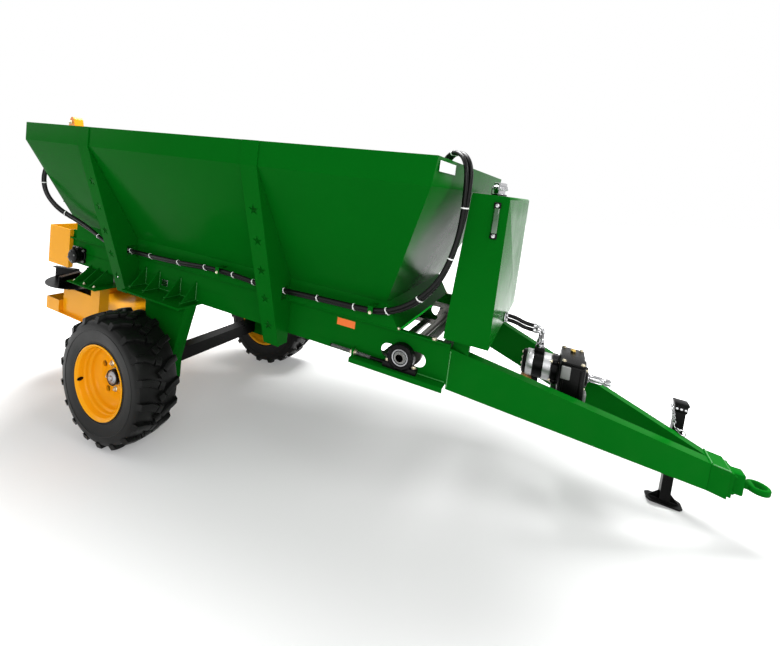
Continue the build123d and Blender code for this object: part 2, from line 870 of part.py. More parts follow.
def spinner():
    # Right-hand disc with its vanes, hub and shaft.
    centre = (disc_x, -disc_half_track)
    top = disc_height + disc_wall
    disc = bar("z", centre, disc_radius, disc_height, top)
    disc += bar("z", centre, 52, top, top + 40)
    disc += bar("z", centre, spinner_shaft_radius, disc_height - spinner_motor_gap - 74, disc_height)
    for number in range(vane_count):
        vane = box(vane_inner - 20, disc_radius - 4, -vane_wall / 2, vane_wall / 2, top, top + vane_height)
        vane += box(vane_inner, disc_radius - 4, 0, 30, top + vane_height - vane_wall, top + vane_height)
        turn = 360 * number / vane_count + 20
        disc += Pos(centre[0], centre[1], 0) * Rot(0, 0, turn) * vane
    return disc


# ---- wheels and axle

def turned(profile, y_middle):
    # A body of revolution about the wheel axis; the profile is (radius, outward distance) points.
    outline = [Vector(radius, -out, 0) for radius, out in profile]
    face = Face(Wire.make_polygon(outline, close=True))
    body = revolve(face, axis=Axis((0, 0, 0), (0, 1, 0)), revolution_arc=360)
    return Pos(0, y_middle, tyre_radius) * body


def facet_band(profile):
    # A closed body of flat facets round the wheel axis. One facet faces straight down once parked.
    # The profile is (radius, outward distance) points, the radius at the middle of a facet.
    step = 360 / tyre_facets
    first = 180 - park_pitch - step / 2
    stretch = 1 / math.cos(math.radians(step / 2))
    spokes = []
    for number in range(tyre_facets):
        angle = math.radians(first + step * number)
        ring = []
        for radius, out in profile:
            ring.append(Vector(
                radius * stretch * math.sin(angle), -out, radius * stretch * math.cos(angle),
            ))
        spokes.append(ring)
    faces = []
    for number, ring in enumerate(spokes):
        following = spokes[(number + 1) % len(spokes)]
        for spot in range(len(profile)):
            after = (spot + 1) % len(profile)
            corners = [ring[spot], ring[after], following[after], following[spot]]
            faces.append(Face(Wire.make_polygon(corners, close=True)))
    return Solid(Shell(faces))


def lug():
    # The right-hand outer lug over the lowest facet: a bar that bends forward on its way across the tread.
    angle = math.radians(180 - park_pitch)
    radial = (math.sin(angle), 0, math.cos(angle))
    tangent = (math.cos(angle), 0, -math.sin(angle))
    (shoulder, start), (bend, turn), (middle, end) = lug_bends
    half = lug_half_width
    outline = [
        (start - half, -shoulder),
        (turn - half, -bend),
        (end - half, -middle + half / 2),
        (end + half, -middle - half / 2),
        (turn + half, -bend - half / 2),
        (start + half, -shoulder),
    ]
    seat = Plane(origin=(0, 0, 0), x_dir=tangent, z_dir=radial)
    face = seat * make_face(Polyline(*outline, close=True))
    return extrude(face, amount=tyre_radius + 20)


def tyre():
    bead = tyre_bead_width / 2
    bore = tyre_bead_radius - 8
    side = [(bore, bead), (rim_flange_radius + 10, bead)] + carcass_profile
    profile = side + [(radius, -out) for radius, out in reversed(side)]
    body = facet_band(profile)
    body -= bar("y", (0, 0), tyre_bead_radius, -bead - 1, bead + 1)
    space = facet_band(lug_profile + [(radius, -out) for radius, out in reversed(lug_profile)])
    single = lug() & space
    pitch = 360 / lug_count
    lugs = []
    for number in range(lug_count):
        lugs.append(single.rotate(Axis.Y, pitch * number))
        lugs.append(far_side(single).rotate(Axis.Y, pitch * (number + 0.5)))
    body = body.fuse(*[piece.solid() for piece in lugs])
    return Pos(0, -wheel_half_track, tyre_radius) * body


def rim():
    bead = tyre_bead_width / 2
    edge = bead + rim_flange_width
    well = tyre_bead_radius - 34
    disc = edge - rim_disc_depth
    profile = [
        (rim_flange_radius, edge),
        (rim_flange_radius, bead),
        (tyre_bead_radius, bead),
        (tyre_bead_radius, -bead),
        (rim_flange_radius, -bead),
        (rim_flange_radius, -edge),
        (tyre_bead_radius - rim_wall, -edge),
        (tyre_bead_radius - rim_wall, -bead + 20),
        (well, -bead + 50),
        (well, disc - rim_disc_wall),
        (hub_cap_radius, disc - rim_disc_wall),
        (hub_cap_radius, disc),
        (well - 14, disc),
        (well, disc + 14),
        (well, disc + 24),
        (tyre_bead_radius - rim_wall, disc + 40),
        (tyre_bead_radius - rim_wall, edge),
    ]
    body = turned(profile, -wheel_half_track)
    for number in range(hand_hole_count):
        angle = 2 * math.pi * number / hand_hole_count
        x = 124 * math.sin(angle)
        z = tyre_radius + 124 * math.cos(angle)
        body -= bar("y", (x, z), 19, -wheel_half_track - edge - 1, -wheel_half_track + edge + 1)
    return body


def hub():
    # Hub against the rim disc's inner face, with its cap through the disc.
    disc_out = tyre_bead_width / 2 + rim_flange_width - rim_disc_depth
    inner_face = -wheel_half_track - (disc_out - rim_disc_wall)
    centre = (0, tyre_radius)
    body = bar("y", centre, hub_radius + 14, inner_face, inner_face + 16)
    body += bar("y", centre, hub_radius - 16, inner_face + 16, inner_face + hub_length)
    body += bar("y", centre, hub_cap_radius, inner_face - hub_cap_reach, inner_face)
    bore = bar("y", centre, spindle_radius + spindle_clearance, inner_face - 30, inner_face + hub_length + 1)
    return body - bore


def axle_beam():
    # Square beam under the trough with a spindle at each end.
    half_side = axle_side / 2
    low = tyre_radius - half_side
    beam = box(-half_side, half_side, -axle_half_length, axle_half_length, low, low + axle_side)
    disc_out = tyre_bead_width / 2 + rim_flange_width - rim_disc_depth
    reach = wheel_half_track + disc_out - rim_disc_wall + 20
    for side in (-1, 1):
        spindle = bar("y", (0, tyre_radius), spindle_radius, axle_half_length, reach)
        beam += spindle if side > 0 else far_side(spindle)
    return beam


def wheel_legs():
    # A tapering box leg each side, pierced by the axle beam.
    half_side = axle_side / 2
    outline = [
        (leg_top_rear, shelf_bottom),
        (leg_foot_rear, tyre_radius + half_side + 30),
        (leg_foot_rear, leg_bottom),
        (leg_foot_front, leg_bottom),
        (leg_foot_front, tyre_radius + half_side + 30),
        (leg_top_front, shelf_bottom),
    ]
    leg = prism(outline, "y", leg_inner, leg_outer)
    hollow_outline = [
        (leg_top_rear + leg_wall, shelf_bottom + 1),
        (leg_foot_rear + leg_wall, tyre_radius + half_side + 30),
        (leg_foot_rear + leg_wall, leg_bottom + leg_wall),
        (leg_foot_front - leg_wall, leg_bottom + leg_wall),
        (leg_foot_front - leg_wall, tyre_radius + half_side + 30 + leg_wall),
        (leg_top_front - leg_wall, shelf_bottom + 1),
    ]
    leg -= prism(hollow_outline, "y", leg_inner + leg_wall, leg_outer - leg_wall)
    low = tyre_radius - half_side
    leg -= box(-half_side, half_side, leg_inner - 1, leg_outer + 1, low, low + axle_side)
    return group([leg, far_side(leg)])


def wheel_brackets():
    # A shelf under each rail over the leg, stiffened by gussets up the rail's web.
    brackets = []
    for side in (-1, 1):
        shelf = box(shelf_rear, shelf_front, shelf_inner, shelf_half_width, shelf_bottom, rail_bottom)
        for x in gusset_places:
            outline = [
                (rail_outer_half, rail_bottom),
                (rail_outer_half + gusset_reach, rail_bottom),
                (rail_outer_half, gusset_top),
            ]
            shelf += prism(outline, "x", x - gusset_wall / 2, x + gusset_wall / 2)
        brackets.append(shelf if side > 0 else far_side(shelf))
    return group(brackets)


# ---- drawbar

def upright_rectangle(x, y_low, y_high, z_low, z_high):
    corners = [(y_low, z_low), (y_high, z_low), (y_high, z_high), (y_low, z_high)]
    return Face(Wire.make_polygon([Vector(x, y, z) for y, z in corners], close=True))


def drawbar_beam():
    # Right-hand beam, from the front cross box to the head.
    ends = []
    for x in (rail_front, head_start):
        outer = -beam_outer(x)
        ends.append(upright_rectangle(x, outer, outer + beam_width, beam_bottom(x), beam_top(x)))
    return loft(ends, ruled=True)


def drawbar_head():
    ends = []
    for x in (head_start, head_end):
        ends.append(upright_rectangle(x, -head_half_width, head_half_width, beam_bottom(x), beam_top(x)))
    head = loft(ends, ruled=True)
    head += box(
        head_end, head_end + flange_plate, -head_half_width + 8, head_half_width - 8,
        head_end_bottom + 8, head_end_top - 8,
    )
    return head


def tow_ring():
    # Hitch block with its neck and towing ring; the ring's hole is upright.
    start = head_end + flange_plate
    centre = start + ring_reach
    block = box(
        start, start + hitch_block_length, -hitch_block_half_width, hitch_block_half_width,
        ring_height - hitch_block_height / 2, ring_height + hitch_block_height / 2,
    )
    low = ring_height - ring_thickness / 2
    high = ring_height + ring_thickness / 2
    neck = box(start, centre, -ring_neck_half, ring_neck_half, low, high)
    ring = bar("z", (centre, 0), ring_radius, low, high)
    hole = bar("z", (centre, 0), ring_bore, low - 1, high + 1)
    return block + neck + ring - hole


# ---- oil tank

def oil_tank():
    outline = [
        (tank_rear_bottom, tank_bottom),
        (tank_front, tank_bottom),
        (tank_front, tank_top),
        (tank_rear_top, tank_top),
    ]
    tank = prism(outline, "y", -tank_half_width, tank_half_width)
    tank = fillet(tank.edges().filter_by(Axis.Y).sort_by(Axis.Z)[-2:], 12)
    hollow_outline = [
        (tank_rear_bottom + tank_wall, tank_bottom + tank_wall),
        (tank_front - tank_wall, tank_bottom + tank_wall),
        (tank_front - tank_wall, tank_top - 3 * tank_wall),
        (tank_rear_top + tank_wall, tank_top - 3 * tank_wall),
    ]
    tank -= prism(hollow_outline, "y", -tank_half_width + tank_wall, tank_half_width - tank_wall)
    return tank - bar("z", filler_place, filler_hole_radius, tank_top - 4 * tank_wall, tank_top + 1)


def tank_mounts():
    feet = []
    rear = rail_front + 5
    front = rear + 70
    for side in (-1, 1):
        outline = [
            (rear, beam_top(rear)),
            (front, beam_top(front)),
            (front, tank_bottom),
            (rear, tank_bottom),
        ]
        inner = beam_outer(rear) - beam_width + 2
        outer = beam_outer(front) - 2
        foot = prism(outline, "y", inner, outer)
        feet.append(foot if side > 0 else far_side(foot))
    return group(feet)


def filler_cap():
    neck_radius, neck_height = filler_neck
    head_radius, head_height = filler_head
    head_bottom = tank_top + neck_height
    cap = bar("z", filler_place, neck_radius, tank_top, head_bottom)
    return cap + bar("z", filler_place, head_radius, head_bottom, head_bottom + head_height)


def level_gauge():
    half = gauge_half_width
    face = -tank_half_width
    front = face - gauge_depth
    high = tank_top - gauge_drop - half
    low = high - gauge_length + 2 * half
    gauge = box(gauge_x - half, gauge_x + half, front, face, low, high)
    for end in (low, high):
        gauge += bar("y", (gauge_x, end), half, front, face)
    return gauge


# ---- gearbox, pump and power shaft

def gearbox():
    half = gearbox_half_width
    body = box(gearbox_rear, gearbox_front, -half, half, gearbox_bottom, gearbox_top)
    body = chamfer(body.edges().filter_by(Axis.X), 12)
    centre = (0, drive_height)
    nose_front = gearbox_front + gearbox_nose
    nose = bar("x", centre, gearbox_nose_radius, gearbox_front, nose_front)
    bore = bar("x", centre, pto_journal_radius + pto_clearance, nose_front - pto_seat, nose_front + 1)
    return body + nose - bore


def gearbox_mount():
    # Cross plate between the drawbar beams under the gearbox.
    rear = gearbox_rear - 20
    front = gearbox_front + 12
    rear_half = beam_outer(rear) - beam_width
    front_half = beam_outer(front) - beam_width
    outline = [(rear, -rear_half), (front, -front_half), (front, front_half), (rear, rear_half)]
    return prism(outline, "z", gearbox_bottom - mount_plate, gearbox_bottom)


def pto_shaft():
    # Free stub in front of a thicker journal that turns in the gearbox's nose.
    centre = (0, drive_height)
    nose_front = gearbox_front + gearbox_nose
    shoulder = nose_front + pto_shoulder
    journal = bar("x", centre, pto_journal_radius, nose_front - pto_seat + pto_shoulder, shoulder)
    return journal + bar("x", centre, pto_radius, shoulder, shoulder + pto_length)


def hydraulic_pump():
    # Gear pump flanged to the gearbox's rear: end covers and flange over a slimmer body.
    centre = (0, drive_height)
    stages = [
        # start, end, radius
        (pump_rear, pump_rear + 20, pump_radius - 8),
        (pump_rear + 20, pump_rear + 36, pump_radius - 4),
        (pump_rear + 36, pump_rear + 76, pump_radius),
        (pump_rear + 76, pump_rear + 108, pump_radius - 4),
        (pump_rear + 108, gearbox_rear, pump_radius - 8),
    ]
    pump = None
    for start, end, radius in stages:
        stage = bar("x", centre, radius, start, end)
        pump = stage if pump is None else pump + stage
    port_top = drive_height + pump_radius + 16
    pump += bar("z", (pump_rear + 56, 0), 18, drive_height, port_top)
    return pump


# ---- hoses

def hose(name, points, radius):
    # A round hose along straight runs joined by arcs as large as the runs allow.
    spots = [Vector(*point) for point in points]
    arcs = []
    for before, corner, after in zip(spots, spots[1:], spots[2:]):
        turn = math.radians((corner - before).get_angle(after - corner))
        arcs.append(0.45 * min((corner - before).length, (after - corner).length) / math.tan(turn / 2))
    path = FilletPolyline(*spots, radius=arcs)
    section = Plane(origin=spots[0], z_dir=spots[1] - spots[0]) * Circle(radius)
    tube = sweep(section, path=path)
    print(name, "smallest arcs", [round(arc) for arc in sorted(arcs)[:4]], "diameter", 2 * radius)
    plain = math.pi * radius**2 * path.length
    print(name, "volume over section times length", round(tube.volume / plain, 5))
    return tube


def side_hoses():
    # A tied pair from the right gate cylinder along the trough and up over the hopper's front rim.
    hoses = []
    for side in (-1, 1):
        points = []
        for x, y, z, way in side_hose_route:
            points.append(Vector(x, y, z) + Vector(*way).normalized() * side * side_hose_spacing)
        hoses.append(hose("side hose", points, side_hose_radius))
    return group(hoses)


def pump_hoses():
    # A pair from the pump's elbow back to the oil tank.
    hoses = []
    for side in (-1, 1):
        points = [(x, 0, z + side * pump_hose_spacing) for x, z in pump_hose_route]
        hoses.append(hose("pump hose", points, pump_hose_radius))
    return group(hoses)


def pump_fittings():
    rear, front, half, bottom, top = pump_elbow
    port_top = drive_height + pump_radius + 16
    elbow = box(rear, front, -half, half, bottom, top)
    elbow += bar("z", (pump_rear + 56, 0), pump_riser_radius, port_top, bottom)
    wall, flange_half, low, high = tank_flange
    flange = box(tank_front, tank_front + wall, -flange_half, flange_half, low, high)
    return group([elbow, flange])


def hose_rest():
    # Plate inside the hopper's front rim that holds the hoses' ends.
    end = side_hose_route[-1]
    top = end[2]
    low = top - hose_rest_wall
    slope = (rim_front - knee_front) / (rim_height - knee_height)
    outline = [
        (hose_rest_rear, low),
        (knee_front - hopper_wall + slope * (low - knee_height), low),
        (knee_front - hopper_wall + slope * (top - knee_height), top),
        (hose_rest_rear, top),
    ]
    return prism(outline, "y", end[1] - hose_rest_half_width, end[1] + hose_rest_half_width)


def hose_clips():
    # Straps from the throat's side over the hoses.
    clips = []
    for x, z in clip_places:
        top = z + clip_rise
        outline = [
            (-throat_half_width, top),
            (-clip_reach, top),
            (-clip_reach, z - clip_fall),
            (-clip_reach + clip_wall, z - clip_fall),
            (-clip_reach + clip_wall, top - clip_wall),
            (-throat_half_width, top - clip_wall),
        ]
        clips.append(prism(outline, "x", x - clip_width / 2, x + clip_width / 2))
    return group(clips + [hose_rest()])


# ---- jack

def jack_y():
    return beam_outer(jack_x) + 14 + jack_sleeve_wall + jack_clearance + jack_leg_side / 2


def jack_sleeve():
    # Square sleeve for the drop leg, on a bracket against the left drawbar beam.
    inside = jack_leg_side / 2 + jack_clearance
    outside = inside + jack_sleeve_wall
    y = jack_y()
    top = jack_sleeve_bottom + jack_sleeve_height
    sleeve = box(jack_x - outside, jack_x + outside, y - outside, y + outside, jack_sleeve_bottom, top)
    rear = jack_x - outside
    bracket_outline = [
        (rear, beam_outer(rear)),
        (jack_x + outside, beam_outer(jack_x + outside)),
        (jack_x + outside, y - outside),
        (rear, y - outside),
    ]
    sleeve += prism(bracket_outline, "z", jack_sleeve_bottom + 6, beam_top(jack_x + outside) - 6)
    return sleeve - box(
        jack_x - inside, jack_x + inside, y - inside, y + inside, jack_sleeve_bottom - 1, top + 1,
    )


def jack_leg():
    # Drop leg with its foot plate and hand pad; the foot's front edge meets the ground when parked.
    half = jack_leg_side / 2
    y = jack_y()
    foot_top = jack_foot_bottom + jack_foot_wall
    leg = box(jack_x - half, jack_x + half, y - half, y + half, foot_top, jack_top)
    inner = half - jack_leg_wall
    pad_bottom = jack_top - jack_pad_thickness
    leg -= box(jack_x - inner, jack_x + inner, y - inner, y + inner, foot_top, pad_bottom)
    pad = half + 5
    leg += box(jack_x - pad, jack_x + pad, y - pad, y + pad, pad_bottom, jack_top)
    foot = box(
        jack_x - jack_foot_length / 2, jack_x + jack_foot_length / 2,
        y - jack_foot_width / 2, y + jack_foot_width / 2, jack_foot_bottom, foot_top,
    )
    foot = chamfer(foot.edges().filter_by(Axis.Z), jack_foot_chamfer)
    return leg + foot


# ---- the assembly

def build_all():
    rail = side_rail()
    beam = drawbar_beam()
    wheel_pieces = {"tyre": tyre(), "rim": rim(), "hub": hub()}
    disc = spinner()
    bearing = take_up_bearing()
    angle = take_up_angle()
    nodes = {
        "side_rail_right": rail,
        "side_rail_left": far_side(rail),
        "cross_members": cross_members(),
        "trough_floor": trough_floor(),
        "conveyor": conveyor(),
        "front_shaft": conveyor_shaft(front_shaft_x),
        "rear_shaft": conveyor_shaft(rear_shaft_x),
        "take_up_bearings": group([bearing, far_side(bearing)]),
        "take_up_angles": group([angle, far_side(angle)]),
        "drive_motor": drive_motor(),
        "drive_bearing": drive_bearing(),
        "hopper": hopper(),
        "posts_right": posts(),
        "posts_left": far_side(posts()),
        "gate": gate(),
        "gate_rods": gate_rods(),
        "gate_guides": gate_guides(),
        "gate_cylinders": gate_cylinders(),
        "cylinder_brackets": cylinder_brackets(),
        "rear_hood": rear_hood(),
        "spinner_frame": spinner_frame(),
        "spinner_brackets": spinner_brackets(),
        "spinner_motors": spinner_motors(),
        "spinner_right": disc,
        "spinner_left": far_side(disc),
        "wheel_legs": wheel_legs(),
        "wheel_brackets": wheel_brackets(),
        "axle_beam": axle_beam(),
        "drawbar_beam_right": beam,
        "drawbar_beam_left": far_side(beam),
        "drawbar_head": drawbar_head(),
        "tow_ring": tow_ring(),
        "oil_tank": oil_tank(),
        "tank_mounts": tank_mounts(),
        "filler_cap": filler_cap(),
        "level_gauge": level_gauge(),
        "gearbox": gearbox(),
        "gearbox_mount": gearbox_mount(),
        "pto_shaft": pto_shaft(),
        "hydraulic_pump": hydraulic_pump(),
        "pump_fittings": pump_fittings(),
        "pump_hoses": pump_hoses(),
        "side_hoses": side_hoses(),
        "hose_clips": hose_clips(),
        "jack_sleeve": jack_sleeve(),
        "jack_leg": jack_leg(),
    }
    for name, piece in wheel_pieces.items():
        nodes[name + "_right"] = piece
        nodes[name + "_left"] = far_side(piece)
    return nodes


def lean(shape):
    # Turn the level machine nose-down about its wheel axis.
    return shape.rotate(Axis((0, 0, tyre_radius), (0, 1, 0)), park_pitch)


def parked_point(x, y, z, shift):
    rise = z - tyre_radius
    return (x * lean_cos + rise * lean_sin + shift, y, tyre_radius + rise * lean_cos - x * lean_sin)


nodes = {name: lean(piece) for name, piece in build_all().items()}
boxes = [piece.bounding_box() for piece in nodes.values()]
rear_end = min(bounds.min.X for bounds in boxes)
front_end = max(bounds.max.X for bounds in boxes)
lowest = min(bounds.min.Z for bounds in boxes)
shift_x = -(rear_end + front_end) / 2
print("shift along x", round(shift_x, 4), "length", round(front_end - rear_end, 2))
print("lowest point", round(lowest, 4))
for name, piece in nodes.items():
    export_step(Pos(shift_x, 0, 0) * piece, "parts/" + name + ".step")

spots = {
    "wheel axis": (0, 0, tyre_radius),
    "right spinner": (disc_x, -disc_half_track, disc_height),
    "left spinner": (disc_x, disc_half_track, disc_height),
    "power shaft end": (gearbox_front + gearbox_nose + pto_shoulder + pto_length, 0, drive_height),
    "tow ring": (head_end + flange_plate + ring_reach, 0, ring_height),
    "jack": (jack_x, jack_y(), jack_foot_bottom),
}
for name, spot in spots.items():
    print(name, [round(value / 1000, 5) for value in parked_point(*spot, shift_x)])
print("down the machine", round(-lean_sin, 6), 0, round(-lean_cos, 6))
print("along the machine", round(lean_cos, 6), 0, round(-lean_sin, 6))
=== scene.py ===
# Towed manure spreader, parked nose-down on its wheels and drop-leg jack.
import json
import math
import bmesh
import bpy
from mathutils import Matrix, Vector


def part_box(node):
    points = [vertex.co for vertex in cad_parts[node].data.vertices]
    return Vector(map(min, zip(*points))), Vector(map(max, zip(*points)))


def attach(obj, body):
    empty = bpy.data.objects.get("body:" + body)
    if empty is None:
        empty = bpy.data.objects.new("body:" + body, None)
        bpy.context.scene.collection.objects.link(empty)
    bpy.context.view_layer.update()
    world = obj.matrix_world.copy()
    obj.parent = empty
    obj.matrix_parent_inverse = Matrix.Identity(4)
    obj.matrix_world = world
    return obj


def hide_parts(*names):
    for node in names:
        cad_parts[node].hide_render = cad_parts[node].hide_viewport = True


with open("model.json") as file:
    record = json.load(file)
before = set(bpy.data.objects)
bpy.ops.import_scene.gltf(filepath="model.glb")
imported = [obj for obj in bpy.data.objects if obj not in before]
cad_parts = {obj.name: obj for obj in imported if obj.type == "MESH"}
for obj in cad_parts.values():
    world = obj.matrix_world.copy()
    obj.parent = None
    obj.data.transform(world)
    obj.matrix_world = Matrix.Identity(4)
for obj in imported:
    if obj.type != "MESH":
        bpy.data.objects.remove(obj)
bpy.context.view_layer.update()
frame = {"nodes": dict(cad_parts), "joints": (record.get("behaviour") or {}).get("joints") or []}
print("stage: frame loaded with", len(frame["nodes"]), "nodes")


# Pieces are drawn in the level machine: x forward from the wheel axis, y to the left, z up, in metres.
def jointNamed(name):
    return next(joint for joint in frame["joints"] if joint["name"] == name)


def moved(x, y, z):
    return Matrix.Translation((x, y, z))


def spun(degrees):
    return Matrix.Rotation(math.radians(degrees), 4, "Z")


def addObject(name, data):
    made = bpy.data.objects.new(name, data)
    bpy.context.collection.objects.link(made)
    return made


wheelAxis = Vector(jointNamed("wheel_right_spin")["pos_m"])
liftAxis = Vector(jointNamed("gate_lift")["axis"])
noseDown = math.atan2(liftAxis.x, liftAxis.z)
parked = moved(wheelAxis.x, 0, wheelAxis.z) @ Matrix.Rotation(noseDown, 4, "Y") @ moved(0, 0, -wheelAxis.z)


def feed(tree, node, sources):
    # Sets a node's inputs: each source is a plain value or another node's output.
    for label, source in sources.items():
        socket = node.inputs[label if isinstance(label, int) else label.replace("_", " ")]
        if isinstance(source, bpy.types.NodeSocket):
            tree.links.new(source, socket)
        else:
            socket.default_value = source
    return node


def addNode(tree, kind, settings=None, **sources):
    node = tree.nodes.new("ShaderNode" + kind)
    for label, value in (settings or {}).items():
        setattr(node, label, value)
    return feed(tree, node, sources)


def mathNode(tree, operation, first, second):
    node = addNode(tree, "Math", {"operation": operation})
    return feed(tree, node, {0: first, 1: second}).outputs[0]


def noise(tree, place, scale, detail, roughness=0.5):
    node = addNode(tree, "TexNoise", Vector=place, Scale=scale, Detail=detail, Roughness=roughness)
    return node.outputs["Fac"]


def newGroup(name, inputs, outputs):
    # An empty shared effect, which gives out masks and values only.
    group = bpy.data.node_groups.new(name, "ShaderNodeTree")
    for label, value in inputs.items():
        socket = group.interface.new_socket(label, in_out="INPUT", socket_type="NodeSocketFloat")
        socket.default_value = value
    for label in outputs:
        group.interface.new_socket(label, in_out="OUTPUT", socket_type="NodeSocketFloat")
    start = group.nodes.new("NodeGroupInput")
    end = group.nodes.new("NodeGroupOutput")
    return group, addNode(group, "TexCoord").outputs["Object"], start.outputs, end


def buildSprayGroup():
    # Spray paint: a slow drift of tone, the fine orange peel as a height, and a smear for the gloss.
    group, place, start, end = newGroup(
        "sprayFilm", {"Tone": 0.08, "Peel Scale": 260.0}, ["Tone Shift", "Peel", "Smear"],
    )
    drift = mathNode(group, "SUBTRACT", noise(group, place, 1.7, 3.0), 0.5)
    scaled = mathNode(group, "MULTIPLY", drift, start["Tone"])
    feed(group, end, {
        "Tone Shift": mathNode(group, "ADD", scaled, 1.0),
        "Peel": noise(group, place, start["Peel Scale"], 2.0),
        "Smear": noise(group, place, 5.5, 6.0, 0.65),
    })
    return group


def buildDustGroup():
    # Road dust: patchy, and thicker towards the ground.
    group, place, start, end = newGroup("roadDust", {"Amount": 0.2, "Reach": 0.9}, ["Mask"])
    height = addNode(group, "SeparateXYZ", Vector=place).outputs["Z"]
    low = addNode(group, "MapRange", Value=height, From_Max=start["Reach"], To_Min=1.0, To_Max=0.12)
    patches = addNode(group, "ValToRGB", Fac=noise(group, place, 9.0, 8.0, 0.62))
    for stop, position in zip(patches.color_ramp.elements, (0.42, 0.78)):
        stop.position = position
    both = mathNode(group, "MULTIPLY", low.outputs["Result"], patches.outputs["Color"])
    feed(group, end, {"Mask": mathNode(group, "MULTIPLY", both, start["Amount"])})
    return group


def buildChipGroup():
    # Small chips and rust freckles, a few to a hand's width, in wide patches.
    group, place, start, end = newGroup("paintChips", {"Amount": 0.3}, ["Mask"])
    chips = addNode(group, "MapRange", Value=noise(group, place, 60.0, 5.0, 0.6), From_Min=0.69, From_Max=0.73)
    fields = addNode(group, "MapRange", Value=noise(group, place, 3.1, 4.0, 0.6), From_Min=0.52, From_Max=0.66)
    both = mathNode(group, "MULTIPLY", chips.outputs["Result"], fields.outputs["Result"])
    feed(group, end, {"Mask": mathNode(group, "MULTIPLY", both, start["Amount"])})
    return group


sprayGroup = buildSprayGroup()
dustGroup = buildDustGroup()
chipGroup = buildChipGroup()


def emptyMaterial(name):
    material = bpy.data.materials.new(name)
    material.use_nodes = True
    tree = material.node_tree
    tree.nodes.clear()
    shader = addNode(tree, "BsdfPrincipled")
    addNode(tree, "OutputMaterial", Surface=shader.outputs["BSDF"])
    return material, tree, shader


def groupNode(tree, group, **values):
    return addNode(tree, "Group", {"node_tree": group}, **values).outputs


def mixColour(tree, factor, first, second):
    node = addNode(tree, "Mix", {"data_type": "RGBA"}, Factor=factor, A=first, B=(*second, 1))
    return node.outputs["Result"]


